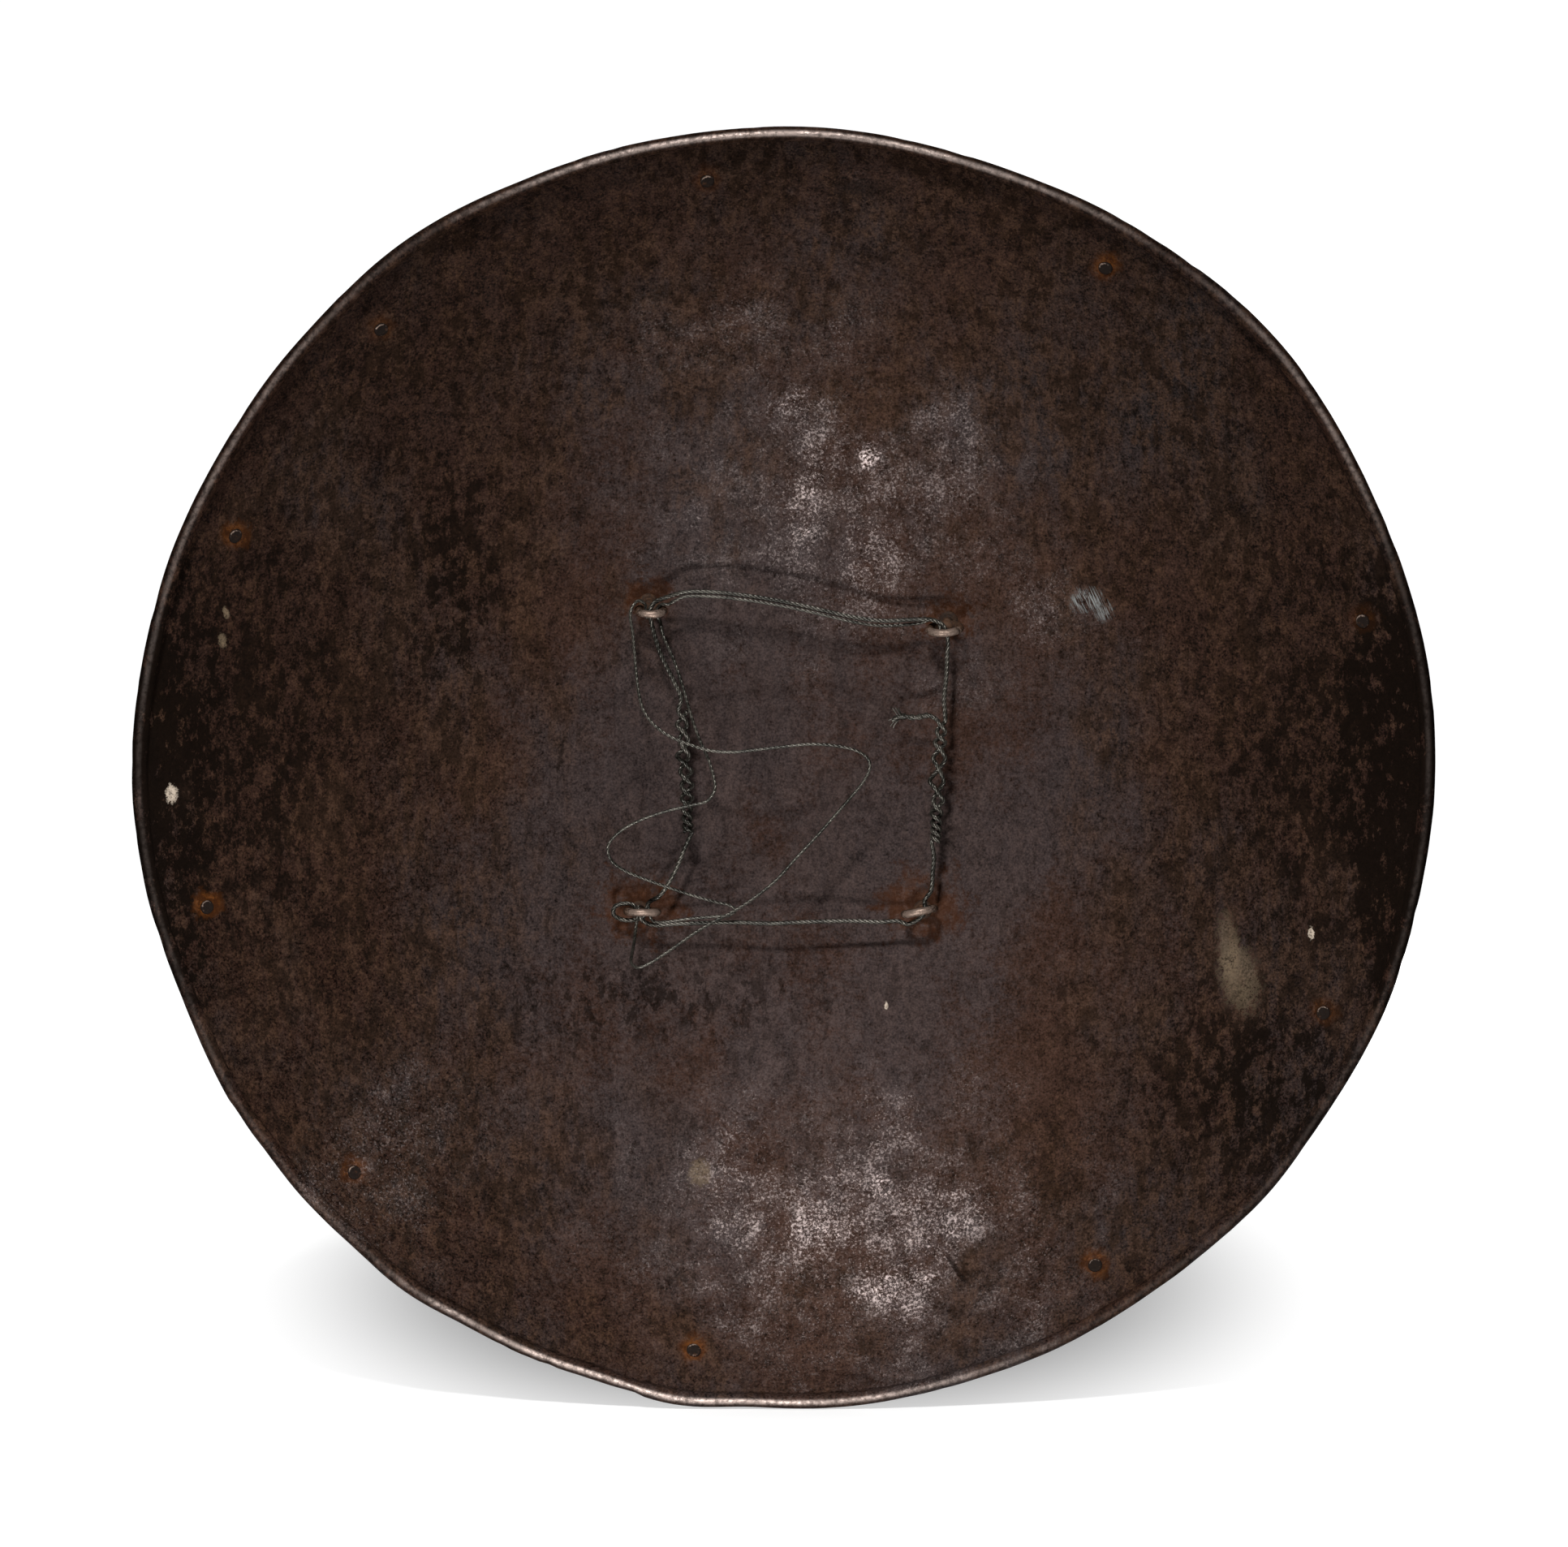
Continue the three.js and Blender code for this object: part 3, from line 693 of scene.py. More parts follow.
@dataclass(frozen=True)
class BowlPatina:
    """Old brown and black patina of the sheet, worn bright on the hem and in rubbed places, with a
    painted sheen, painted glints and a painted hem highlight where the lamps reflect.
    """

    umber: Colour = (0.034, 0.0170, 0.0118)
    plum: Colour = (0.0335, 0.0240, 0.0226)
    ochre: Colour = (0.047, 0.0240, 0.0140)
    soot: Colour = (0.0042, 0.0026, 0.0018)
    painted_sheen: Colour = (0.092, 0.077, 0.074)
    # Bright colour painted into the glints where the lamps reflect.
    steel: Colour = (0.42, 0.345, 0.325)
    rust: Colour = (0.135, 0.043, 0.008)
    dark_rust: Colour = (0.042, 0.0135, 0.004)
    earth: Colour = (0.17, 0.125, 0.080)
    chalk: Colour = (0.46, 0.38, 0.30)
    verdigris: Colour = (0.21, 0.22, 0.215)
    hem_steel_and_highlight: Colour = (0.56, 0.45, 0.40)
    raw_edge: float = 0.8
    stroke_lean: float = 0.42
    shine: float = 0.02
    light_middle: Mark = Mark((11.0, -34.0), (210.0, 370.0))
    clean_middle: Mark = Mark((10.0, -52.0), (138.0, 205.0))
    rivet_rust: tuple[float, ...] = (0.35, 0.75, 0.25, 0.35, 0.7, 0.8, 0.6, 1.0, 0.7, 0.3)
    eye_rust: tuple[float, ...] = (0.8, 0.75, 0.85, 0.85)
    eye_rust_reach: tuple[float, ...] = (8.5, 8.5, 12.5, 12.5)
    # Where the hem is made bright, strongest at the top and bottom: partly wear, partly a painted
    # highlight where the lamps reflect.
    hem_wear_and_highlight: tuple[tuple[Mark, float], ...] = (
        (Mark((6, 240), (150, 62)), 1.0),
        (Mark((-45, -232), (132, 70)), 1.0),
        (Mark((180, 120), (60, 70)), 0.35),
        (Mark((-196, 110), (64, 110)), 0.22),
    )
    # The spots where the lamps reflect in the hollow: a painted sheen and painted glints go here,
    # besides less rough, more metallic specks.
    rubbed_and_highlit: tuple[tuple[Mark, float], ...] = (
        (Mark((32, 114), (8, 8)), 1.15),
        (Mark((12, 104), (16, 44), -12.0), 0.78),
        (Mark((32, 80), (24, 28), 10.0), 0.72),
        (Mark((8, 134), (22, 10)), 0.62),
        (Mark((62, 118), (34, 34)), 0.40),
        (Mark((22, 96), (78, 66)), 0.48),
        (Mark((26, 52), (34, 16)), 0.46),
        (Mark((98, 58), (22, 30), 20.0), 0.34),
        (Mark((36, -161), (12, 10)), 1.2),
        (Mark((40, -196), (34, 18)), 0.80),
        (Mark((14, -178), (28, 26)), 0.80),
        (Mark((58, -172), (34, 30)), 0.70),
        (Mark((26, -172), (96, 62)), 0.60),
        (Mark((-150, -150), (56, 40), 35.0), 0.34),
        (Mark((-10, 158), (70, 30)), 0.28),
        (Mark((68, 28), (26, 16)), 0.26),
    )
    sooty: tuple[tuple[Mark, float], ...] = (
        (Mark((-236, 0), (42, 150)), 1.5),
        (Mark((240, 0), (56, 170)), 1.7),
        (Mark((-200, 10), (76, 140)), 0.9),
        (Mark((210, 0), (84, 150)), 0.9),
        (Mark((176, -118), (70, 70)), 1.0),
        (Mark((-60, -92), (96, 24)), 0.65),
        (Mark((-40, -150), (70, 18)), 0.3),
        (Mark((-124, 66), (36, 84)), 0.95),
        (Mark((-140, 140), (60, 50)), 0.6),
        (Mark((150, 130), (60, 60)), 0.5),
    )

    def material(self, rivets: list[Vector], eyes: list[Vector]) -> bpy.types.Material:
        """Makes the sheet's material.

        Args:
            rivets: Places of the border rivets on the hollow face.
            eyes: Places of the eye bolts on the hollow face.

        Returns:
            The material.
        """
        graph = Graph("bowl_patina")
        place = graph.millimetres()
        inside = graph.named("inside")
        crest = graph.named("crest")
        edge = graph.named("raw_edge")
        broad = graph.grain(place, 75.0, 4.0, 0.55, 3.1, (1, 1, 1.4))
        cloud = graph.grain(place, 27.0, 8.0, 0.66, 8.4, (0.8, 1, 1.35))
        fleck = graph.grain(place, 8.0, 8.0, 0.72, 1.3, (0.9, 1, 1.2))
        crumb = graph.grain(place, 2.2, 5.0, 0.75, 5.9)
        dust = graph.grain(place, 0.8, 2.0, 0.6, 7.7)
        streak = graph.grain(place, 7.0, 5.0, 0.66, 17.3, (0.5, 1, 2.6))

        # rim_side is 0 in the middle and 1 towards the left and right sides; there the colour is
        # made darker and more of it soot-black.
        out = graph.spot(place, self.light_middle.centre, self.light_middle.half)
        rim_side = (out + 0.8 * (cloud - 0.5)).step(0.24, 0.86)
        stained = graph.spot(place, self.clean_middle.centre, self.clean_middle.half)
        stained = (stained + 1.6 * (cloud - 0.5)).step(0.60, 1.15)
        sooty = self._zone(graph, place, self.sooty, cloud).most(0.45 * rim_side)
        rubbed_and_highlit = self._zone(graph, place, self.rubbed_and_highlit, cloud) * inside

        ground = broad + 0.5 * (cloud - 0.5) + 0.6 * (crumb - 0.5) - 0.16 * rim_side
        colour = graph.mix(ground.step(0.30, 0.56), self.umber, self.plum)
        brown = cloud + 0.4 * (fleck - 0.5) + 0.7 * (streak - 0.5) + 0.8 * (crumb - 0.5)
        brown = (brown + 0.25 * (broad - 0.5) + 0.02 * rim_side).step(0.40, 0.68)
        colour = graph.mix(brown * (0.12 + 0.62 * stained), colour, self.ochre)
        tone = 1.8 * (crumb - 0.5) + 2.2 * (dust - 0.5) + 1.3 * (fleck - 0.5) + 0.8 * (cloud - 0.5)
        tone = (1.0 + tone * (1.0 + 0.7 * rim_side)) * (1.0 - 0.40 * rim_side)
        colour = graph.shade(colour, tone.most(0.12))

        powder = graph.grain(place, 6.5, 7.0, 0.80, 19.6, (0.85, 1, 1.3))
        cover = powder + 0.42 * (cloud - 0.5) + 0.25 * (streak - 0.5) + 0.105 * sooty
        dirt = cover.step(0.550, 0.625) * (0.30 + 0.64 * sooty)
        colour = graph.mix(dirt.least(0.94), colour, self.soot)

        # Painted highlight: a lighter sheen and bright glints, laid only in the spots where the
        # lamps reflect; the glints are also less rough and more metallic.
        fine = graph.grain(place, 1.0, 6.0, 0.80, 12.6)
        patch = graph.grain(place, 13.0, 6.0, 0.68, 15.2)
        painted_sheen_film = (patch + 0.7 * (crumb - 0.5) + 0.6 * (dust - 0.5)).step(0.34, 0.70)
        colour = graph.mix(painted_sheen_film * rubbed_and_highlit * 0.40, colour, self.painted_sheen)
        glint = (fine + 0.36 * (patch - 0.5) + 0.10 * rubbed_and_highlit).step(0.575, 0.655)
        glint = (glint * rubbed_and_highlit * 1.1).least(1.0)
        colour = graph.mix(glint * 0.66, colour, self.steel)

        colour, rusty = self._rust(graph, place, colour, crumb, fleck, rivets, eyes, inside)
        colour, pale = self._marks(graph, place, colour, crumb, dust, inside)

        # The hem's crest and raw edge take bright steel, strongest at the top and bottom: worn
        # metal, and also a painted highlight where the lamps catch the roll.
        scuffed = (crumb * 0.7 + cloud * 0.5).step(0.46, 0.70)
        worn = self._zone(graph, place, self.hem_wear_and_highlight, cloud).least(1.0)
        hem = crest * (0.25 + 0.75 * scuffed) * (0.05 + 0.95 * worn)
        lip = edge * self.raw_edge * crumb.step(0.36, 0.60) * (0.30 + 0.70 * worn)
        hem = hem.most(lip)
        colour = graph.mix(hem, colour, self.hem_steel_and_highlight)

        height = 0.80 * graph.grain(place, 12.0, 2.0, 0.5, 2.2)
        height = height + 4.5 * graph.grain(place, 34.0, 1.0, 0.5, 4.8)
        height = height + 0.20 * fleck + 0.22 * crumb + 0.07 * dust - 0.06 * dirt
        height = height + 0.03 * glint + self._dents(graph, place) * inside
        rough = 0.50 + 0.25 * (crumb - 0.5) + 0.25 * (cloud - 0.5) + 0.42 * dirt - 0.08 * rubbed_and_highlit
        rough = rough + 0.22 * rusty + 0.2 * pale - 0.10 * glint - 0.14 * hem
        metal = 0.26 * (1.0 - dirt) * (1.0 - 0.85 * rim_side) + 0.60 * glint
        metal = metal + 0.85 * hem - 0.3 * rusty - 0.3 * pale
        return graph.surface(
            Base_Color=colour,
            Metallic=metal.most(0.0).least(1.0),
            Roughness=rough.most(0.2).least(0.96),
            Specular_IOR_Level=self.shine,
            Normal=graph.bump(height),
        )

    @staticmethod
    def _zone(
        graph: Graph, place: Value, rows: tuple[tuple[Mark, float], ...], edge: Value
    ) -> Value:
        """One soft mask over several ovals.

        Args:
            graph: The material's graph.
            place: Where it is read.
            rows: The ovals, each with its strength.
            edge: Noise that frays their borders.

        Returns:
            The strength in the ovals, and 0 well outside.
        """
        zone: Value | None = None
        for mark, strength in rows:
            out = graph.spot(place, mark.centre, mark.half, mark.turn) + 1.8 * (edge - 0.5)
            inner = out.step(1.2, 0.1) * strength
            zone = inner if zone is None else zone.most(inner)
        return zone

    def _rust(
        self,
        graph: Graph,
        place: Value,
        colour: Value,
        crumb: Value,
        fleck: Value,
        rivets: list[Vector],
        eyes: list[Vector],
        inside: Value,
    ) -> tuple[Value, Value]:
        """Lays rust round the rivets and eyes, and paints shade on the rust just under each eye's
        root.

        Args:
            graph: The material's graph.
            place: Where it is read.
            colour: The colour below the rust.
            crumb: Fine noise that frays the rust.
            fleck: Coarser noise that frays it.
            rivets: Places of the border rivets on the hollow face.
            eyes: Places of the eye bolts on the hollow face.
            inside: 1 on the hollow face and 0 on the front.

        Returns:
            The colour, and how rusty each place is.
        """
        ragged = 2.2 * (crumb - 0.5) + 3.2 * (fleck - 0.5)
        halo: Value | None = None
        root: Value | None = None
        for at, strength in zip(rivets, self.rivet_rust):
            ring = graph.spot(place, (at.x, at.z + 0.8), (5.2, 5.2)) + 0.8 * ragged
            ring = ring.step(1.25, 0.60) * strength
            halo = ring if halo is None else halo.most(ring)
        for at, reach, strength in zip(eyes, self.eye_rust_reach, self.eye_rust):
            ring = graph.spot(place, (at.x, at.z + 1.0), (reach * 1.3, reach * 1.1)) + ragged
            halo = halo.most(ring.step(1.2, 0.30) * strength)
            # Painted shade: the rust turns dark just under each eye's root, where the eye's shadow
            # falls.
            shade = graph.spot(place, (at.x, at.z - 1.0), (reach * 1.2, reach)) + 0.6 * ragged
            shade = shade.step(1.15, 0.40)
            root = shade if root is None else root.most(shade)
        halo = halo * inside
        share = (crumb + 0.6 * (fleck - 0.5)).step(0.42, 0.64) * (1.0 - 0.85 * root)
        tint = graph.mix(share, self.dark_rust, self.rust)
        return graph.mix(halo * 0.80, colour, tint), halo

    def _marks(
        self, graph: Graph, place: Value, colour: Value, crumb: Value, dust: Value, inside: Value
    ) -> tuple[Value, Value]:
        """Lays the scrapes, pale specks and stains of the hollow face.

        Args:
            graph: The material's graph.
            place: Where it is read.
            colour: The colour below the marks.
            crumb: Fine noise that frays them.
            dust: Finer noise.
            inside: 1 on the hollow face and 0 on the front.

        Returns:
            The colour, and how pale each place is.
        """
        ragged = 3.4 * (crumb - 0.5) + 1.6 * (dust - 0.5)
        pale: Value | None = None
        rows = (
            (Mark((167.0, -70.0), (3.8, 13.0), 5.0), self.earth, 0.26),
            (Mark((170.5, -80.0), (6.8, 12.5), 9.0), self.earth, 0.30),
            (Mark((196.8, -62.2), (1.1, 2.2)), self.chalk, 0.95),
            (Mark((-226.9, -8.8), (1.9, 3.2)), self.chalk, 0.9),
            (Mark((-206.9, 57.9), (1.0, 2.1), 15.0), self.earth, 0.60),
            (Mark((-208.4, 47.3), (1.3, 2.7), 10.0), self.earth, 0.55),
            (Mark((38.8, -95.2), (0.7, 1.6)), self.chalk, 0.8),
            (Mark((-31.8, -156.4), (4.4, 4.8)), self.earth, 0.34),
        )
        for mark, tint, strength in rows:
            out = graph.spot(place, mark.centre, mark.half, mark.turn) + 0.8 * ragged
            grit = (1.0 + 3.4 * (crumb - 0.5) + 2.6 * (dust - 0.5)).most(0.15)
            cover = (out.step(1.15, 0.85) * strength * inside * grit).least(1.0)
            colour = graph.mix(cover, colour, tint)
            pale = cover if pale is None else pale.most(cover)
        turned = {"rotation_type": "Y_AXIS"}
        leant = graph.node(
            "ShaderNodeVectorRotate", turned, Vector=place, Angle=self.stroke_lean
        )
        stroke = graph.grain(leant, 1.0, 3.0, 0.6, 21.4, (0.55, 1.0, 7.0)) + 0.35 * (crumb - 0.5)
        for mark, strength in (
            (Mark((114.0, 60.0), (6.2, 4.6), 20.0), 0.85),
            (Mark((120.5, 56.0), (3.6, 4.2)), 0.6),
        ):
            out = graph.spot(place, mark.centre, mark.half, mark.turn) + 0.4 * ragged
            cover = out.step(1.25, 0.5) * stroke.step(0.44, 0.60) * strength * inside
            colour = graph.mix(cover, colour, self.verdigris)
            pale = pale.most(cover)
        for mark, strength in (
            (Mark((28.3, 214.0), (16.0, 5.0)), 0.45),
            (Mark((-85.1, -1.3), (1.1, 8.0), -12.0), 0.6),
            (Mark((156.9, 35.0), (1.1, 12.0), -14.0), 0.6),
            (Mark((-87.0, 152.0), (1.1, 14.0), -14.0), 0.5),
        ):
            out = graph.spot(place, mark.centre, mark.half, mark.turn) + ragged * 0.6
            colour = graph.mix(out.step(1.2, 0.5) * strength * inside, colour, self.soot)
        return colour, pale

    @staticmethod
    def _dents(graph: Graph, place: Value) -> Value:
        """The small dents and the gouge of the hollow face.

        Args:
            graph: The material's graph.
            place: Where it is read.

        Returns:
            Their height in millimetres, less than 0 in a hollow.
        """
        total: Value | None = None
        for mark, depth in (
            (Mark((66.3, -189.6), (2.0, 6.5), 38.0), -3.2),
            (Mark((116.1, -168.6), (4.5, 2.2), 30.0), -0.7),
            (Mark((-78.7, 90.5), (2.2, 3.6), 20.0), 0.5),
            (Mark((2.7, 168.0), (2.6, 1.6)), -0.4),
            (Mark((-26.0, 172.0), (16.0, 5.0), 12.0), 0.5),
            (Mark((-6.0, 180.0), (15.0, 4.0), 20.0), -0.45),
            (Mark((-52.0, 168.0), (14.0, 4.5), 32.0), 0.55),
            (Mark((-40.0, 158.0), (12.0, 3.6), 30.0), -0.5),
            (Mark((98.5, 90.0), (1.0, 5.0), -18.0), -0.5),
            (Mark((64.0, 113.0), (0.8, 4.0), 12.0), -0.5),
            (Mark((30.0, -226.0), (17.0, 1.8), -6.0), -0.6),
            (Mark((50.0, 108.0), (4.0, 4.0)), -0.35),
        ):
            hollow = graph.spot(place, mark.centre, mark.half, mark.turn).step(1.3, 0.0) * depth
            total = hollow if total is None else total + hollow
        return total


@dataclass(frozen=True)
class ForgedSteel:
    """Rusted bar or rivet steel, made bright where the piece marks it as worn, which on the rivet
    tails also paints a highlight.
    """

    name: str
    dark: Colour = (0.030, 0.019, 0.014)
    brown: Colour = (0.085, 0.042, 0.022)
    bright: Colour = (0.24, 0.175, 0.140)
    rust_share: float = 0.6
    pits: float = 0.10
    shine: float = 0.10

    def material(self) -> bpy.types.Material:
        """Makes the material. The piece stores its rubbed places as "worn".

        Returns:
            The material.
        """
        graph = Graph(self.name)
        place = graph.millimetres()
        worn = graph.named("worn")
        lump = graph.grain(place, 3.0, 3.0, 0.6, 4.2)
        crumb = graph.grain(place, 0.9, 3.0, 0.65, 9.1)
        rusty = (lump * 0.6 + crumb * 0.4).step(0.62 - 0.25 * self.rust_share, 0.70)
        colour = graph.mix(rusty, self.dark, self.brown)
        rubbed_and_highlit = (worn + 1.6 * (crumb - 0.5) + 1.2 * (lump - 0.5)).step(0.40, 0.95)
        colour = graph.mix(rubbed_and_highlit, colour, self.bright)
        height = self.pits * crumb + 1.4 * self.pits * lump
        return graph.surface(
            Base_Color=colour,
            Metallic=(0.05 + 0.55 * rubbed_and_highlit).least(1.0),
            Roughness=(0.66 + 0.3 * (crumb - 0.5) - 0.20 * rubbed_and_highlit).most(0.15),
            Specular_IOR_Level=self.shine,
            Normal=graph.bump(height),
        )


@dataclass(frozen=True)
class PictureWireSteel:
    """Dull grey stranded wire, darker in the grooves between its strands."""

    strand: Colour = (0.088, 0.080, 0.066)
    dull: Colour = (0.032, 0.030, 0.024)
    groove: Colour = (0.006, 0.005, 0.004)

    def material(self) -> bpy.types.Material:
        """Makes the material. The piece stores the height of its strands as "ridge".

        Returns:
            The material.
        """
        graph = Graph("picture_wire")
        place = graph.millimetres()
        ridge = graph.named("ridge")
        patch = graph.grain(place, 7.0, 2.0, 0.5, 6.6)
        crumb = graph.grain(place, 0.8, 2.0, 0.6, 2.8)
        colour = graph.mix((patch + 0.4 * (crumb - 0.5)).step(0.36, 0.62), self.dull, self.strand)
        colour = graph.mix((ridge + 0.3 * (crumb - 0.5)).step(0.55, 0.05), colour, self.groove)
        return graph.surface(
            Base_Color=colour,
            Metallic=0.65,
            Roughness=0.36 + 0.2 * (crumb - 0.5) + 0.12 * (patch - 0.5),
            Normal=graph.bump(0.02 * crumb),
        )


# ---------------------------------------------------------------------------
# The bowl
# ---------------------------------------------------------------------------


@dataclass
class BeatenBowl:
    """The raised sheet with its rolled hem."""

    patina: BowlPatina
    hem: float = 6.0
    slit: float = 0.5
    roll_turn: float = 1.5 * math.pi
    steps: int = 400
    stations: int = 46
    roll_steps: int = 26
    dents: int = 46
    seed: int = 11
    hem_share: float = 0.953
    # The crest band's turn round the hem's axis and its half width, set where the lamps reflect on
    # the roll.
    crest_highlight_turn: float = 2.42
    crest_highlight_half: float = 0.42
    edge_half: float = 0.22
    centre: tuple[float, float] = field(init=False)
    edge_angle: float = field(init=False)

    def __post_init__(self) -> None:
        """Works out where the hem's own axis lies in the section."""
        ball = FORM.ball + FORM.sheet - self.hem / 2
        self.edge_angle = math.asin((FORM.rim_radius - self.hem / 2) / ball)
        self.centre = (
            ball * math.sin(self.edge_angle),
            ball * math.cos(self.edge_angle) - FORM.ball,
        )

    def section(self) -> Section:
        """The sheet's section from the front's middle, round the hem, to the hollow's middle.

        Returns:
            Radius and height of each corner.
        """

        def arc(radius: float, share: float) -> tuple[float, float]:
            """A corner on the bowl's own curve, at a share of the way to the hem."""
            turn = self.edge_angle * share
            return radius * math.sin(turn), radius * math.cos(turn) - FORM.ball

        def roll(radius: float, turn: float) -> tuple[float, float]:
            """A corner on a circle round the hem's own axis.

            Args:
                radius: The circle's radius.
                turn: Angle from the bowl's edge, in radians.

            Returns:
                The corner's radius and height.
            """
            lean = self.edge_angle + turn
            return (
                self.centre[0] + radius * math.sin(lean),
                self.centre[1] + radius * math.cos(lean),
            )

        shares = [i / self.stations for i in range(self.stations + 1)]
        front = [arc(FORM.ball + FORM.sheet, share) for share in shares]
        hollow = [arc(FORM.ball, share) for share in reversed(shares)]
        outer = [
            roll(self.hem / 2, self.roll_turn * (i + 1) / self.roll_steps)
            for i in range(self.roll_steps)
        ]
        inner_radius = self.hem / 2 - FORM.sheet
        inner = [
            roll(inner_radius, self.roll_turn * (self.roll_steps - i) / self.roll_steps)
            for i in range(self.roll_steps)
        ]
        lip = self.hem / 2 - FORM.sheet - self.slit
        ends = []
        for distance in (self.hem / 2, self.hem / 2 - FORM.sheet):
            x, y = roll(distance, self.roll_turn)
            ends.append((x + lip * math.sin(self.edge_angle), y + lip * math.cos(self.edge_angle)))
        bevel = [
            (0.85 * ends[0][0] + 0.15 * ends[1][0], 0.85 * ends[0][1] + 0.15 * ends[1][1]),
            (0.15 * ends[0][0] + 0.85 * ends[1][0], 0.15 * ends[0][1] + 0.85 * ends[1][1]),
        ]
        return front + outer + bevel + inner + hollow

    def build(self, rivets: list[Vector], eyes: list[Vector]) -> bpy.types.Object:
        """Turns, stretches and beats the sheet.

        Args:
            rivets: Places of the border rivets on the hollow face.
            eyes: Places of the eye bolts on the hollow face.

        Returns:
            The finished bowl.
        """
        bowl = Bench.turned("beaten_bowl", self.section(), self.steps)
        place = Bench.corners(bowl)
        radius = np.hypot(place[:, 0], place[:, 2])
        angle = np.arctan2(place[:, 2], place[:, 0])
        from_ball = np.sqrt(radius**2 + (place[:, 1] + FORM.ball) ** 2)
        in_hem = np.hypot(radius - self.centre[0], place[:, 1] - self.centre[1])
        lean = np.arctan2(radius - self.centre[0], place[:, 1] - self.centre[1]) - self.edge_angle
        turn = lean % (2 * math.pi)
        hemmed = (in_hem < self.hem / 2 + 0.05) & (from_ball < FORM.ball + FORM.sheet + 0.05)
        skin = hemmed & (in_hem > self.hem / 2 - 0.3)
        crest = np.where(skin, self._crest_highlight(turn), 0.0)
        hollow = (from_ball < FORM.ball + 0.5 * FORM.sheet) | (hemmed & (turn > 1.2))
        Bench.attribute(bowl, "crest", crest)
        past = np.abs(turn - self.roll_turn - 0.08)
        raw = np.clip(1 - past / self.edge_half, 0, 1)
        Bench.attribute(bowl, "raw_edge", np.where(hemmed, raw, 0.0))
        Bench.attribute(bowl, "inside", np.where(hollow, 1.0, 0.0))

        place = self._wobbled(place, radius, angle, in_hem, hemmed)
        factor = FORM.swell(angle, radius)
        place[:, 0] *= factor
        place[:, 2] *= factor
        off = np.array([FORM.beaten(x, z) for x, z in zip(place[:, 0], place[:, 2])])
        away = place + np.array([0.0, FORM.ball, 0.0])
        away /= np.linalg.norm(away, axis=1)[:, None]
        Bench.set_corners(bowl, place + away * off[:, None])
        return Bench.finish(
            bowl, "dish", "bowl_steel", self.patina.material(rivets, eyes), smooth_degrees=50.0
        )

    def _crest_highlight(self, turn: np.ndarray) -> np.ndarray:
        """How much each turn round the hem's axis belongs to its crest, a worn band that is also
        painted lighter where the lamps reflect on the roll.
        """
        return np.clip(1.2 - np.abs(turn - self.crest_highlight_turn) / self.crest_highlight_half, 0, 1)

    def _wobbled(
        self,
        place: np.ndarray,
        radius: np.ndarray,
        angle: np.ndarray,
        in_hem: np.ndarray,
        hemmed: np.ndarray,
    ) -> np.ndarray:
        """Gives the hem the uneven thickness and the small knocks of handwork.

        Args:
            place: The sheet's points.
            radius: Their distances from the shield's axis.
            angle: Their angles round it.
            in_hem: Their distances from the hem's own axis.
            hemmed: Which points belong to the hem.

        Returns:
            The new points.
        """
        chance = random.Random(self.seed)
        ranges = ((-math.pi, math.pi), (0.01, 0.03), (0.2, 0.55))
        knocks = [
            tuple(chance.uniform(low, high) for low, high in ranges) for _ in range(self.dents)
        ]
        moved = place.copy()
        for index in np.nonzero(hemmed & (in_hem > self.hem / 2 - FORM.sheet - 0.1))[0]:
            at = angle[index]
            ring = Vector((math.cos(at), math.sin(at), 0.0))
            waves = 0.05 * noise.noise(ring * 9.0) + 0.025 * noise.noise(ring * 30.0)
            size = self.hem_share + waves
            for where, width, depth in knocks:
                away = abs((at - where + math.pi) % (2 * math.pi) - math.pi) / width
                if away < 1.0:
                    size -= depth / self.hem * (1 - away * away) ** 2
            new_radius = self.centre[0] + (radius[index] - self.centre[0]) * size
            moved[index, 0] = new_radius * math.cos(at)
            moved[index, 1] = self.centre[1] + (place[index, 1] - self.centre[1]) * size
            moved[index, 2] = new_radius * math.sin(at)
        return moved


# ---------------------------------------------------------------------------
# Rivets and bosses
# ---------------------------------------------------------------------------


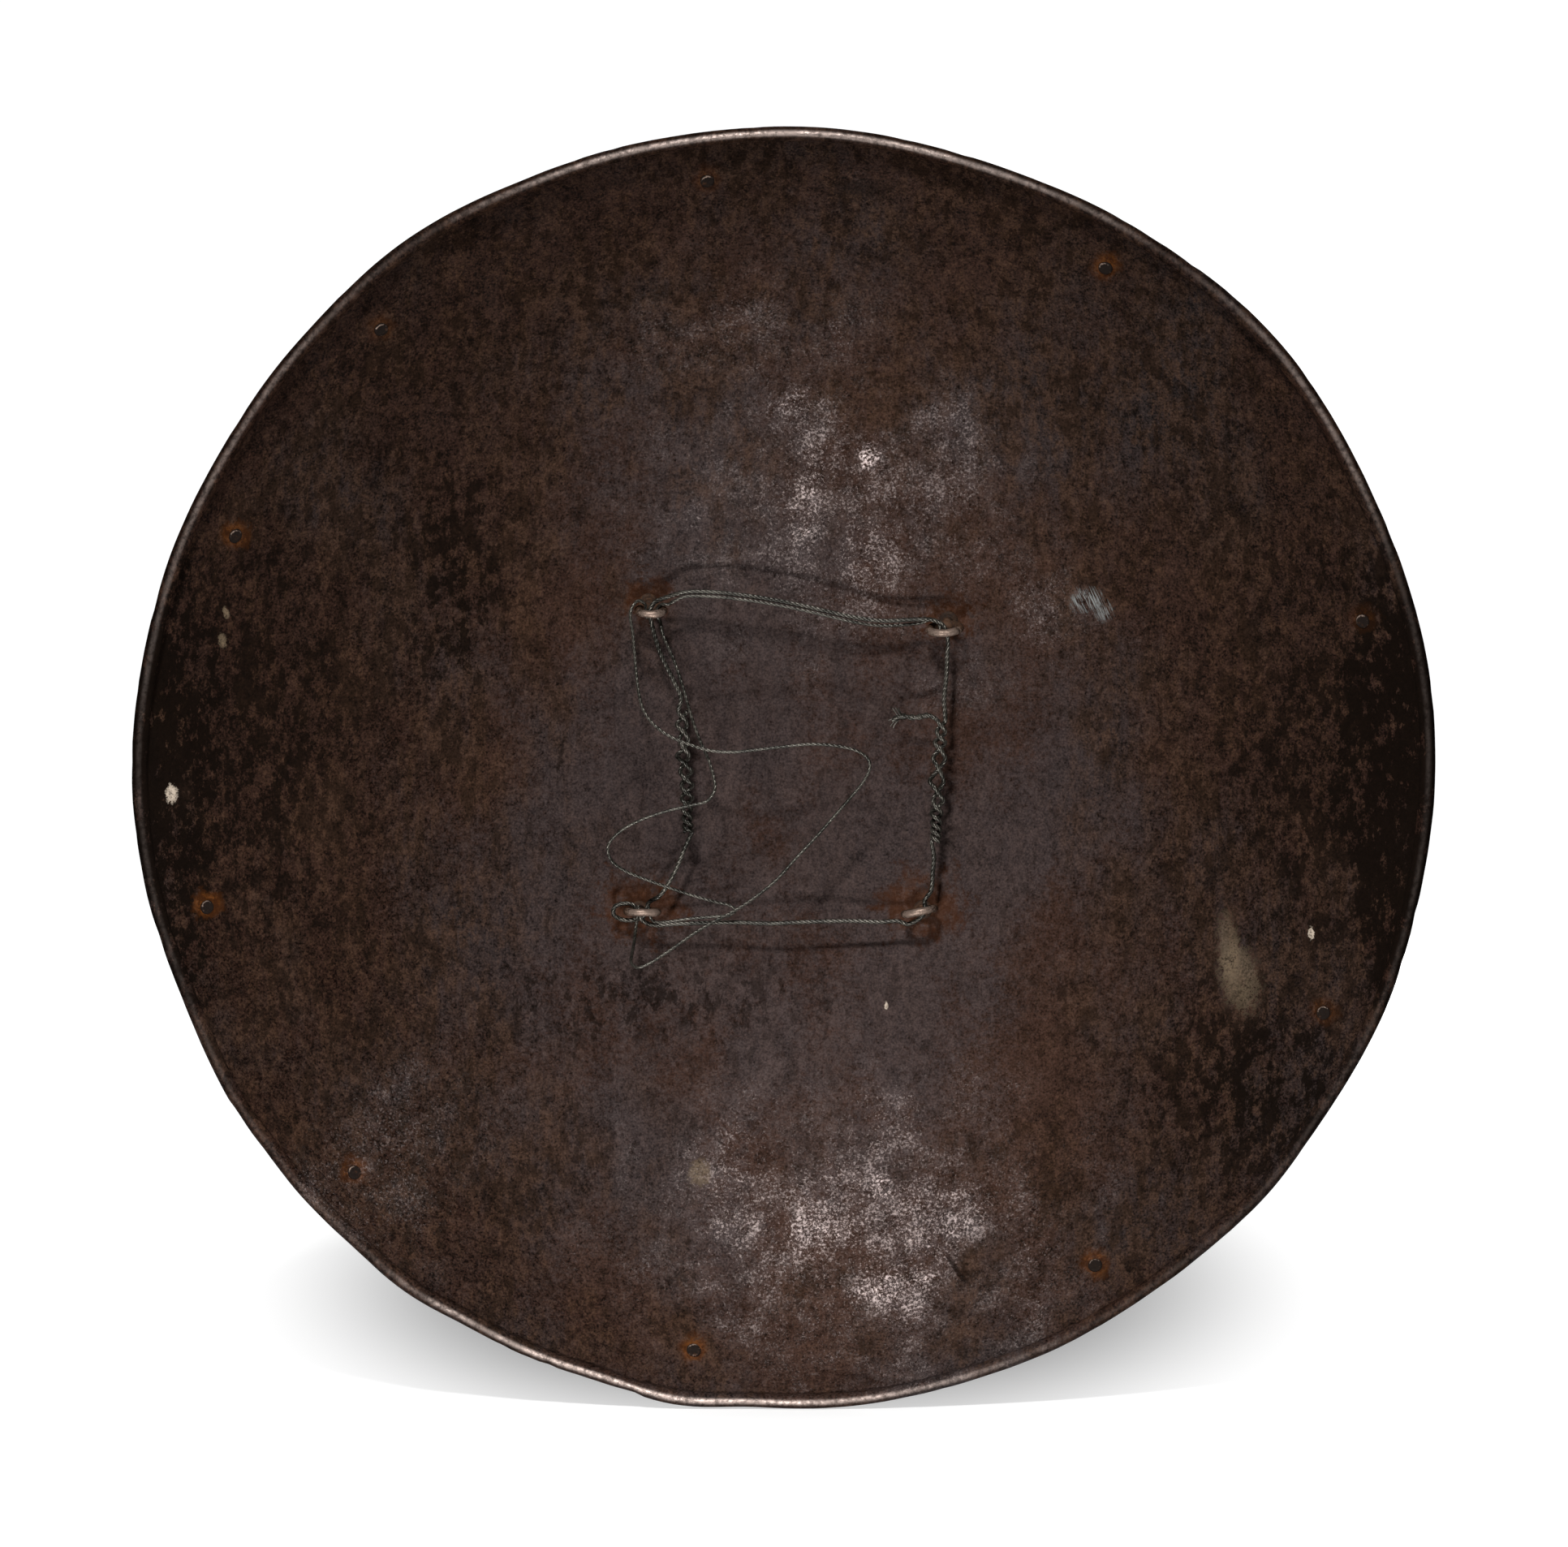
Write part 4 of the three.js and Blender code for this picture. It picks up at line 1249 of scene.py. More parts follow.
@dataclass
class BorderRivets:
    """The ten rivets near the rim: peened tail in the hollow, domed head on the front."""

    steel: ForgedSteel
    circle_radius: float = 221.0
    shank: float = 4.0
    head: float = 12.0
    head_height: float = 3.6
    tail: float = 5.4
    tail_height: float = 0.7
    steps: int = 40
    angles: tuple[float, ...] = (97.4, 57.4, 14.4, -24.4, -58, -98.8, 223.3, 193.5, 156.9, 132.4)

    def seats(self) -> list[Matrix]:
        """The rivets' frames on the hollow face."""
        return [FORM.seat(self.circle_radius, degrees) for degrees in self.angles]

    def section(self) -> Section:
        """The rivet's section from the tail's middle to the head's middle.

        Returns:
            Radius and height of each corner.
        """
        tail = self.tail / 2
        head = self.head / 2
        seat = FORM.sheet
        points = [(0.0, -self.tail_height * 0.8), (tail * 0.45, -self.tail_height * 0.84)]
        points += [(tail * 0.74, -self.tail_height), (tail * 0.93, -self.tail_height * 0.72)]
        points += [(tail, -self.tail_height * 0.35), (tail * 1.0, 0.02)]
        points += [(self.shank / 2, 0.02), (self.shank / 2, seat), (head * 0.97, seat)]
        points += [
            (head * math.cos(turn), seat + 0.3 + (self.head_height - 0.3) * math.sin(turn))
            for turn in (i * math.pi / 16 for i in range(8))
        ]
        return points + [(0.0, seat + self.head_height)]

    def build(self) -> list[bpy.types.Object]:
        """Makes one rivet and sets a copy of it, each peened a little differently.

        Returns:
            The rivets.
        """
        material = self.steel.material()
        pattern = Bench.turned("rivet_pattern", self.section(), self.steps)
        Bench.modifier(pattern, "SUBSURF", levels=1, render_levels=1)
        made = []
        for number, seat in enumerate(self.seats(), start=1):
            rivet = pattern.copy()
            rivet.data = pattern.data.copy()
            rivet.name = f"border_rivet_{number}_peened"
            bpy.context.scene.collection.objects.link(rivet)
            self._peen(rivet, number)
            place = Bench.corners(rivet)
            worn = np.clip((place[:, 1] - FORM.sheet - 1.4) / 2.0, 0, 1) * 0.7
            # The tail's rim is marked worn, and more so on its upper left side: a painted
            # highlight where the key lamp catches the edge.
            rim = np.hypot(place[:, 0], place[:, 2]) / (self.tail / 2)
            lip = np.exp(-(((rim - 0.82) / 0.14) ** 2)) * (place[:, 1] < -0.2)
            side = np.clip(place[:, 2] - 0.35 * place[:, 0], 0, 2) / 2
            Bench.attribute(rivet, "worn", np.maximum(worn, lip * (0.25 + 0.6 * side)))
            rivet.data.transform(seat)
            made.append(Bench.finish(rivet, f"rim_rivet_{number}", "bowl_steel", material))
        bpy.data.objects.remove(pattern)
        return made

    def _peen(self, rivet: bpy.types.Object, number: int) -> None:
        """Beats the tail out of round and tilts its face.

        Args:
            rivet: The rivet, in millimetres.
            number: Which rivet it is.
        """
        chance = random.Random(100 + number)
        long_way = chance.uniform(0, math.pi)
        spread = chance.uniform(0.03, 0.12)
        lean = Vector((chance.uniform(-1, 1), 0, chance.uniform(-1, 1))) * 0.05
        for vertex in rivet.data.vertices:
            x, y, z = vertex.co
            if y < 0.0:
                along = math.cos(math.atan2(z, x) - long_way) ** 2
                grow = 1.0 + spread * (along - 0.5)
                dent = 0.14 * noise.noise(Vector((x / 1.3, number * 3.1, z / 1.3)))
                sunk = (lean.x * x + lean.z * z + dent) * min(-y * 2, 1)
                vertex.co = (x * grow, y + sunk, z * grow)
            elif y > FORM.sheet + 0.2:
                vertex.co = vertex.co + vertex.normal * 0.09 * noise.noise(
                    Vector((x / 2.6, y / 2.6 + number, z / 2.6))
                )


@dataclass
class DomedBosses:
    """The four hollow bosses over the eye bolts' shanks, on the front."""

    steel: ForgedSteel
    diameter: float = 38.0
    height: float = 9.5
    flange: float = 2.2
    flange_thickness: float = 1.0
    wall: float = 1.3
    hole: float = 5.0
    steps: int = 96

    def section(self) -> Section:
        """The section from the flange's seat, over the dome to the hole, and back inside.

        Returns:
            Radius and height of each corner.
        """
        edge = self.diameter / 2
        seat = FORM.sheet + 0.3 + FORM.height(edge)
        dome = edge - self.flange
        top = seat + self.flange_thickness
        hole = self.hole / 2

        def arc(radius: float, height: float, start: float, count: int) -> Section:
            """A quarter of an oval, from its widest place up to the hole.

            Args:
                radius: Its widest reach from the axis.
                height: Its height.
                start: Where it starts, along the axis.
                count: Number of corners.

            Returns:
                The corners.
            """
            return [
                (
                    hole + (radius - hole) * math.cos(i * math.pi / 2 / (count - 1)),
                    start + height * math.sin(i * math.pi / 2 / (count - 1)),
                )
                for i in range(count)
            ]

        points = [(edge - 0.2, seat), (edge, seat + 0.25), (edge, top - 0.25), (edge - 0.3, top)]
        points += [(dome + 0.55, top), (dome + 0.3, top - 0.22), (dome + 0.05, top)]
        points += arc(dome - 0.05, self.height - self.flange_thickness, top + 0.1, 15)[1:]
        under = arc(dome - self.wall, self.height - self.wall, seat, 9)
        return points + under[::-1] + [(edge - 0.2, seat)]

    def build(self) -> list[bpy.types.Object]:
        """Makes one boss and sets a copy of it over each eye bolt.

        Returns:
            The bosses.
        """
        material = self.steel.material()
        pattern = Bench.turned("boss_pattern", self.section(), self.steps)
        made = []
        for number, eye in enumerate(EYES.places):
            boss = pattern.copy()
            boss.data = pattern.data.copy()
            boss.name = f"domed_boss_{eye.name}"
            bpy.context.scene.collection.objects.link(boss)
            Bench.roughened(boss, 7.0, 0.16, 5.0 + number)
            place = Bench.corners(boss)
            top = FORM.sheet + self.height
            worn = np.clip((place[:, 1] - top + 4.5) / 5.0, 0, 1) * 0.55
            Bench.attribute(boss, "worn", worn)
            boss.data.transform(EYES.frame(FORM, eye))
            made.append(Bench.finish(boss, f"boss_{eye.name}", "bowl_steel", material))
        bpy.data.objects.remove(pattern)
        return made


# ---------------------------------------------------------------------------
# Eye bolts
# ---------------------------------------------------------------------------


@dataclass
class EyeBolts:
    """The four eyes of round bar, with their collars, shanks and peened buttons."""

    steel: ForgedSteel
    grain: float = 0.28
    boss_height: float = 9.5

    def build(self) -> list[bpy.types.Object]:
        """Makes the four eye bolts.

        Returns:
            The eye bolts.
        """
        material = self.steel.material()
        return [self._bolt(number, eye, material) for number, eye in enumerate(EYES.places)]

    def _bolt(
        self, number: int, eye: EyePlace, material: bpy.types.Material
    ) -> bpy.types.Object:
        """Forges one bolt: loop, neck and shank run into each other.

        Args:
            number: Which bolt it is.
            eye: Its place and loop.
            material: Its finish.

        Returns:
            The bolt.
        """
        loop_diameter = EYES.loop * eye.loop_share
        Bench.clear()
        bpy.ops.mesh.primitive_torus_add(
            major_segments=72,
            minor_segments=24,
            major_radius=(loop_diameter - EYES.bar) / 2,
            minor_radius=EYES.bar / 2,
        )
        loop = bpy.context.active_object
        Bench.roughened(loop, 3.4, 0.22, 2.0 + number)
        loop.data.transform(EYES.loop_turn(eye))
        neck = Bench.turned("neck", self._neck(), 32)
        shank = Bench.turned("shank", self._shank(), 40)
        bolt = Bench.joined(f"worn_eye_bolt_{eye.name}", [loop, neck, shank])
        Bench.fused(bolt, self.grain, 3)
        Bench.roughened(bolt, 0.9, 0.05, 4.0 + number)
        self._rub(bolt, loop_diameter)
        bolt.data.transform(EYES.frame(FORM, eye))
        return Bench.finish(bolt, f"eye_bolt_{eye.name}", "eye_steel", material, 60.0)

    @staticmethod
    def _neck() -> Section:
        """The neck, wider where it runs into the loop and the collar.

        Returns:
            Radius and height of each corner.
        """
        thick = EYES.neck / 2
        far = -EYES.stem - EYES.bar / 2
        return [
            (0.0, far),
            (thick * 0.9, far),
            (thick * 1.1, far + 1.2),
            (thick, far + 2.4),
            (thick * 1.02, -1.4),
            (thick * 1.35, -0.4),
            (thick * 1.35, 0.2),
            (0.0, 0.2),
        ]

    def _shank(self) -> Section:
        """The collar in the hollow, the shank, and the button beaten over the boss.

        Returns:
            Radius and height of each corner.
        """
        collar = EYES.collar / 2
        crown = FORM.sheet + 0.3 + self.boss_height + FORM.height(19.0)
        button = EYES.button / 2
        points = [(0.0, -EYES.collar_height), (collar - 0.8, -EYES.collar_height)]
        points += [(collar - 0.2, -EYES.collar_height * 0.6), (collar, -0.15), (collar, 0.15)]
        points += [(EYES.shank / 2, 0.15), (EYES.shank / 2, crown + 0.1)]
        points += [(button - 0.2, crown + 0.1), (button, crown + 0.4)]
        points += [
            (button * math.cos(turn), crown + 0.5 + (EYES.button_height - 0.5) * math.sin(turn))
            for turn in (i * math.pi / 14 for i in range(1, 7))
        ]
        return points + [(0.0, crown + EYES.button_height)]

    @staticmethod
    def _rub(bolt: bpy.types.Object, loop_diameter: float) -> None:
        """Marks the loop's outer bar, and the button's crown, as rubbed bright.

        Args:
            bolt: The bolt, seated at zero.
            loop_diameter: Its loop's size.
        """
        place = Bench.corners(bolt)
        reach = -place[:, 1] - EYES.stem
        front = np.clip((reach - 0.50 * loop_diameter) / (0.42 * loop_diameter), 0, 1)
        button = np.clip((place[:, 1] - 11.0) / 2.0, 0, 1) * 0.6
        Bench.attribute(bolt, "worn", np.maximum(front, button))


# ---------------------------------------------------------------------------
# Wires
# ---------------------------------------------------------------------------

Row = tuple[float, float, float]


@dataclass(frozen=True)
class WireSize:
    """How one kind of picture wire is laid up, in millimetres."""

    diameter: float
    strands: int
    lay: float
    groove: float
    points_per_strand: int = 5
    ring_step: float = 0.42


WIRE_SIZES = {
    WireKind.STRUNG: WireSize(1.75, 4, 8.0, 0.24, 6),
    WireKind.LOOSE: WireSize(1.3, 3, 6.0, 0.24, 7),
}


class Route:
    """A wire's line through its chosen points."""

    @staticmethod
    def through_eye(eye: EyePlace, rows: tuple[Row, ...]) -> list[Vector]:
        """Points of a wire in an eye.

        Args:
            eye: The eye.
            rows: Side, out and up from the middle of its loop.

        Returns:
            The points, in shield millimetres.
        """
        base = EYES.frame(FORM, eye)
        here = FORM.point(EYES.circle_radius * eye.circle_share, math.radians(eye.degrees))
        base.translation = here
        turn = base @ EYES.loop_turn(eye)
        return [turn @ Vector((side, -out, up)) for side, out, up in rows]

    @staticmethod
    def off_bowl(rows: tuple[Row, ...]) -> list[Vector]:
        """Points given as x, z and the distance off the bowl."""
        return [standing(row) for row in rows]

    @staticmethod
    def twist(axis: tuple[Row, Row], quarters: tuple[Row, ...], starts_left: bool) -> list[Vector]:
        """One wire's uneven turns round a twist's axis, from its upper end to its lower end.

        Args:
            axis: The axis's two ends.
            quarters: At each quarter turn, the share of the axis that is passed, and how far the
                wire that starts on the left and the other one stand from it.
            starts_left: Which of the two wires is wanted.

        Returns:
            The points.
        """
        top, bottom = (standing(end) for end in axis)
        down = bottom - top
        side = down.cross(Vector((0, -1, 0))).normalized()
        outward = side.cross(down).normalized()
        column = 1 if starts_left else 2
        points = []
        for half in range(2 * len(quarters) - 1):
            low, high = quarters[half // 2], quarters[(half + 1) // 2]
            turn = half * math.pi / 4 + (0 if starts_left else math.pi)
            reach = (low[column] + high[column]) / 2
            points.append(
                top
                + down * ((low[0] + high[0]) / 2)
                + side * (reach * math.cos(turn))
                + outward * (reach * math.sin(turn))
            )
        return points

    @staticmethod
    def smooth(points: list[Vector], step: float) -> np.ndarray:
        """A centripetal Catmull-Rom line through the points, at even steps.

        Args:
            points: The points that the wire goes through.
            step: Distance between the new points.

        Returns:
            The new points, one row each.
        """
        raw = [np.array(point, dtype=float) for point in points]
        raw = [2 * raw[0] - raw[1], *raw, 2 * raw[-1] - raw[-2]]
        fine: list[np.ndarray] = []
        for p0, p1, p2, p3 in zip(raw, raw[1:], raw[2:], raw[3:]):
            gaps = ((p0, p1), (p1, p2), (p2, p3))
            d0, d1, d2 = (math.sqrt(np.linalg.norm(b - a)) for a, b in gaps)
            t1 = ((p1 - p0) / d0 - (p2 - p0) / (d0 + d1) + (p2 - p1) / d1) * d1
            t2 = ((p2 - p1) / d1 - (p3 - p1) / (d1 + d2) + (p3 - p2) / d2) * d1
            for i in range(24):
                t = i / 24
                fine.append(
                    p1 * (2 * t**3 - 3 * t**2 + 1)
                    + t1 * (t**3 - 2 * t**2 + t)
                    + p2 * (3 * t**2 - 2 * t**3)
                    + t2 * (t**3 - t**2)
                )
        fine.append(raw[-2])
        line = np.array(fine)
        along = np.concatenate([[0.0], np.cumsum(np.linalg.norm(np.diff(line, axis=0), axis=1))])
        even = np.linspace(0.0, along[-1], max(int(along[-1] / step), 2) + 1)
        return np.column_stack([np.interp(even, along, line[:, axis]) for axis in range(3)])


@dataclass
class LaidWire:
    """Sweeps a twisted, lobed section along a line."""

    size: WireSize
    corners: list[np.ndarray] = field(default_factory=list)
    faces: list[tuple[int, ...]] = field(default_factory=list)
    ridges: list[np.ndarray] = field(default_factory=list)
    count: int = 0

    def sweep(
        self, line: np.ndarray, diameter: float, lobes: int, groove: float, lay: float
    ) -> None:
        """Adds one closed skin along a line.

        Args:
            line: The line's points.
            diameter: Greatest thickness.
            lobes: Number of strands that show, or 1 for a plain round one.
            groove: Depth of the grooves as a share of the radius.
            lay: Length in which a strand goes once round.
        """
        around = max(8, lobes * self.size.points_per_strand)
        tangents = np.gradient(line, axis=0)
        tangents /= np.linalg.norm(tangents, axis=1)[:, None]
        normal = np.cross(tangents[0], [0.0, 0.0, 1.0])
        if np.linalg.norm(normal) < 0.1:
            normal = np.cross(tangents[0], [1.0, 0.0, 0.0])
        along = np.concatenate([[0.0], np.cumsum(np.linalg.norm(np.diff(line, axis=0), axis=1))])
        turn = 2 * math.pi * np.arange(around) / around
        wave = np.abs(np.cos(turn * lobes / 2)) if lobes > 1 else np.ones(around)
        reach = diameter / 2 * (1 - groove * (1 - wave))
        rings = []
        for index, tangent in enumerate(tangents):
            normal = normal - tangent * np.dot(normal, tangent)
            normal /= np.linalg.norm(normal)
            other = np.cross(tangent, normal)
            lean = turn + 2 * math.pi * along[index] / lay
            end = min(index, len(tangents) - 1 - index)
            close = 0.72 if end == 0 else 1.0
            rings.append(
                line[index]
                + (reach * close * np.cos(lean))[:, None] * normal
                + (reach * close * np.sin(lean))[:, None] * other
            )
        start = self.count
        self.corners += rings
        self.ridges += [wave] * len(rings)
        for ring in range(len(rings) - 1):
            low = start + ring * around
            for i in range(around):
                j = (i + 1) % around
                self.faces.append((low + i, low + j, low + around + j, low + around + i))
        last = start + (len(rings) - 1) * around
        self.faces.append(tuple(start + i for i in reversed(range(around))))
        self.faces.append(tuple(last + i for i in range(around)))
        self.count = last + around

    def piece(self, name: str) -> bpy.types.Object:
        """Makes the mesh of all that was swept, and stores the strands' heights on it.

        Args:
            name: Name of the new piece.

        Returns:
            The piece.
        """
        mesh = bpy.data.meshes.new(name)
        mesh.from_pydata(np.vstack(self.corners).tolist(), [], self.faces)
        made = bpy.data.objects.new(name, mesh)
        bpy.context.scene.collection.objects.link(made)
        Bench.pick(made)
        bpy.ops.object.mode_set(mode="EDIT")
        bpy.ops.mesh.select_all(action="SELECT")
        bpy.ops.mesh.normals_make_consistent(inside=False)
        bpy.ops.object.mode_set(mode="OBJECT")
        Bench.attribute(made, "ridge", np.concatenate(self.ridges))
        return made


@dataclass
class WireHarness:
    """The four picture wires that are strung, twisted and looped between the eyes."""

    steel: PictureWireSteel
    ply_diameter: float = 1.2
    ply_reach: float = 0.7
    ply_lay: float = 6.5
    fray_diameter: float = 0.6
    right_axis: tuple[Row, Row] = ((59.6, 14, 14), (57.4, -32, 14))
    left_axis: tuple[Row, Row] = ((-38.4, 17.5, 14), (-36.4, -28.5, 14))
    right_twist: tuple[Row, ...] = (
        (0, 1.4, 1.4),
        (0.04, 1.4, 1.3),
        (0.09, 1.6, 1.5),
        (0.14, 1.4, 1.5),
        (0.18, 2.1, 1.8),
        (0.23, 1.6, 1.4),
        (0.31, 2.1, 2.4),
        (0.4, 1.7, 1.3),
        (0.5, 3.3, 1.9),
        (0.59, 1.4, 1.5),
        (0.66, 2.2, 1.6),
        (0.72, 1.3, 1.8),
        (0.765, 2.1, 1.7),
        (0.805, 1.6, 1.4),
        (0.84, 1.5, 1.6),
        (0.87, 1.4, 1.5),
        (0.9, 1.6, 1.4),
        (0.928, 1.4, 1.5),
        (0.954, 1.4, 1.5),
        (0.978, 1.4, 1.4),
        (1, 1.4, 1.4),
    )
    left_twist: tuple[Row, ...] = (
        (0, 1.6, 1.5),
        (0.05, 1.4, 1.4),
        (0.11, 1.4, 2.4),
        (0.17, 1.5, 1.4),
        (0.24, 1.5, 1.7),
        (0.31, 1.4, 1.6),
        (0.37, 1.6, 2.9),
        (0.43, 1.7, 1.4),
        (0.5, 1.9, 2.3),
        (0.56, 1.6, 1.4),
        (0.615, 2.6, 1.6),
        (0.67, 1.4, 1.7),
        (0.72, 1.8, 2.2),
        (0.77, 1.5, 1.4),
        (0.81, 1.5, 1.6),
        (0.85, 1.4, 1.5),
        (0.885, 1.5, 1.4),
        (0.92, 1.4, 1.5),
        (0.95, 1.4, 1.4),
        (0.975, 1.4, 1.4),
        (1, 1.4, 1.4),
    )
    upper_span: tuple[Row, ...] = (
        (51.5, 52.4, 11),
        (37, 51.8, 12),
        (26, 53.2, 13),
        (15.5, 55.6, 14),
        (4.6, 58.1, 14),
        (-6.5, 60.2, 14),
        (-17, 61.8, 14),
        (-28, 62.8, 13),
        (-38, 62.6, 12),
    )
    short_span: tuple[Row, ...] = (
        (51.5, 50.9, 9.3),
        (37, 49.9, 12),
        (26, 51.5, 14.2),
        (15.5, 54, 15.3),
        (4.6, 56.5, 15.3),
        (-6.5, 58.6, 15.3),
        (-17, 60.2, 15.3),
        (-28, 61.2, 14.3),
        (-38, 61, 13.3),
    )
    upper_to_right: tuple[Row, ...] = ((61.8, 40, 11), (61.4, 31, 12.5), (60.6, 22.5, 13.5))
    upper_to_left: tuple[Row, ...] = ((-47, 40, 11.5), (-41.8, 29, 13), (-39, 22.5, 14))
    stub: tuple[Row, ...] = ((41, 13.6, 11), (44.5, 15.2, 11), (49.5, 15, 12), (54.5, 16, 13.4))
    lower_from_right: tuple[Row, ...] = ((56.8, -37, 13.5), (56.4, -44, 12.5), (55.8, -50.5, 11.5))
    lower_span: tuple[Row, ...] = (
        (43.5, -62.3, 11.5),
        (36, -62.6, 12),
        (26, -62.2, 13),
        (10, -62.5, 14),
        (-6.5, -63.1, 14),
        (-17, -62.8, 13),
        (-30, -63, 12),
        (-42, -63.4, 11),
    )
    lower_to_left: tuple[Row, ...] = ((-47, -52.5, 11.5), (-41.6, -44, 12.5), (-37.6, -34.5, 13.5))
    short_loop: tuple[Row, ...] = (
        (-45.8, 46.5, 12.5),
        (-41.8, 37.5, 15.5),
        (-38.2, 27, 18.7),
        (-35, 16, 21),
        (-31.8, 7, 22.5),
        (-28.6, 0, 24),
        (-26.5, -7, 25.5),
        (-26.2, -11.5, 26.5),
        (-29, -15.6, 27),
        (-34.5, -17.1, 27),
        (-44, -19.3, 26),
        (-54.5, -23, 24),
        (-62.4, -27.6, 22),
        (-66.4, -32.6, 21),
        (-65.4, -38, 20.5),
        (-60, -42.2, 20.5),
        (-49.4, -46.6, 20.5),
        (-42.8, -49, 20.5),
        (-34, -52, 20),
        (-26, -54.4, 19.5),
        (-20.6, -55.8, 18.6),
        (-18.4, -57.7, 17.8),
        (-20.8, -59.6, 17),
        (-26.5, -60.2, 16.4),
        (-36, -61, 15.6),
        (-45, -62.2, 14.6),
    )
    long_loop: tuple[Row, ...] = (
        (-57.9, 55.5, 12.5),
        (-57, 46.5, 14.5),
        (-56.2, 37, 16.5),
        (-55.2, 27.4, 19),
        (-53.2, 18.8, 21),
        (-49.2, 13.2, 23),
        (-43, 8.8, 25),
        (-35, 5.6, 27),
        (-28, 3.6, 28),
        (-20, 3, 29),
        (-11.5, 3.8, 30),
        (-1, 5, 30),
        (10, 6, 30),
        (20.5, 5.2, 29),
        (27.5, 3.4, 28),
        (31.6, 0.4, 27),
        (32.4, -3, 26),
        (30.2, -8, 26),
        (25, -14.5, 26.5),
        (18.4, -22.1, 27),
        (12.6, -28.6, 28),
        (4.6, -37, 29),
        (-3, -45.2, 30),
        (-11.6, -52, 31),
        (-19, -56.6, 32),
        (-27, -60.6, 33),
        (-34, -64.6, 34),
        (-42, -70, 34.4),
        (-50, -75, 34.2),
        (-55, -77, 32.6),
        (-57.4, -75.6, 29.4),
        (-57.2, -72.4, 24),
        (-56.6, -69, 18),
    )
    upper_in_top_right: tuple[Row, ...] = (
        (1.2, 2.6, -4.2),
        (0.9, 3.1, -0.4),
        (-0.6, 2.4, 2.4),
        (-4.4, 1, 3.9),
    )
    upper_in_top_left: tuple[Row, ...] = (
        (4.6, -0.6, 4.4),
        (1.2, 0.6, 3.2),
        (-0.7, 1.9, 0.6),
        (-0.8, 2, -1.2),
        (0.2, 0.8, -5),
    )
    short_in_top_right: tuple[Row, ...] = (
        (-1.6, -1.6, -3.4),
        (-2.2, -2.4, -0.6),
        (-2.8, -1.8, 2),
        (-5.2, -0.9, 3.4),
    )
    short_in_top_left: tuple[Row, ...] = (
        (6.2, 1.9, 2.9),
        (3.9, 0.9, 2.6),
        (2.3, -0.1, 0.4),
        (2.3, -0.1, -1.8),
        (3.6, 0.6, -4.6),
    )
    long_in_top_left: tuple[Row, ...] = (
        (-1.6, -0.8, -3.4),
        (-1.9, -0.5, -0.4),
        (-2.3, -0.4, 2.4),
        (-4.9, 0.2, 4),
    )
    lower_in_bottom_right: tuple[Row, ...] = (
        (2.9, 0.3, 3.6),
        (2.6, 1.9, 0.6),
        (1, 1.6, -1.8),
        (-1.6, 1, -3.2),
        (-5.4, 0.8, -3.9),
    )
    lower_round_bottom_left: tuple[Row, ...] = (
        (4.6, 0.6, -4.9),
        (0.6, 0.1, -3.6),
        (-1.7, 0, -0.4),
        (-3.4, -0.4, 2.4),
        (-7, -1, 3),
        (-10.4, -1.6, 1.6),
        (-10.6, -2.2, -1.4),
        (-7.4, -2.6, -3.2),
        (-3.6, -2.8, -3.4),
        (0.4, -3, -2.4),
        (1.9, -2.6, 0.2),
        (2.6, -2, 3.4),
    )
    short_in_bottom_left: tuple[Row, ...] = ((4.2, 2.6, -3.4), (2.4, 2.3, -0.8), (1.9, 1.9, 2.6))
    long_in_bottom_left: tuple[Row, ...] = ((-2.6, 3.2, -5), (-2.1, 2.6, -1), (-1.7, 2.2, 2.6))
    frays: tuple[tuple[Row, ...], ...] = (
        ((44.2, 14.6, 11.2), (42.6, 16.4, 11.6), (41.2, 18.6, 12.4)),
        ((44.4, 15.2, 11.4), (43.4, 17.0, 12.2), (42.2, 18.9, 13.4)),
        ((44.6, 15.6, 11.0), (43.8, 17.2, 11.2), (43.4, 18.8, 11.6)),
        ((43.2, 14.2, 11.0), (41.6, 13.0, 11.6), (40.4, 11.6, 12.6)),
        ((43.4, 13.8, 11.4), (42.0, 12.2, 12.4), (41.4, 10.9, 13.2)),
        ((43.0, 14.4, 10.6), (41.0, 14.2, 10.6), (39.6, 13.6, 10.8)),
    )

    def routes(self) -> dict[str, tuple[WireKind, list[Vector]]]:
        """The chosen points of the four wires.

        Returns:
            The kind and the points of each wire, by the node that it stands for.
        """
        eyes = {eye.name: eye for eye in EYES.places}
        top_left, top_right = eyes["top_left"], eyes["top_right"]
        bottom_left, bottom_right = eyes["bottom_left"], eyes["bottom_right"]
        upper = [
            *Route.twist(self.right_axis, self.right_twist, False)[::-1],
            *Route.off_bowl(self.upper_to_right)[::-1],
            *Route.through_eye(top_right, self.upper_in_top_right),
            *Route.off_bowl(self.upper_span),
            *Route.through_eye(top_left, self.upper_in_top_left),
            *Route.off_bowl(self.upper_to_left),
            *Route.twist(self.left_axis, self.left_twist, True),
        ]
        lower = [
            *Route.off_bowl(self.stub),
            *Route.twist(self.right_axis, self.right_twist, True),
            *Route.off_bowl(self.lower_from_right),
            *Route.through_eye(bottom_right, self.lower_in_bottom_right),
            *Route.off_bowl(self.lower_span),
            *Route.through_eye(bottom_left, self.lower_round_bottom_left),
            *Route.off_bowl(self.lower_to_left),
            *Route.twist(self.left_axis, self.left_twist, False)[::-1],
        ]
        short = [
            *Route.through_eye(top_right, self.short_in_top_right),
            *Route.off_bowl(self.short_span),
            *Route.through_eye(top_left, self.short_in_top_left),
            *Route.off_bowl(self.short_loop),
            *Route.through_eye(bottom_left, self.short_in_bottom_left),
        ]
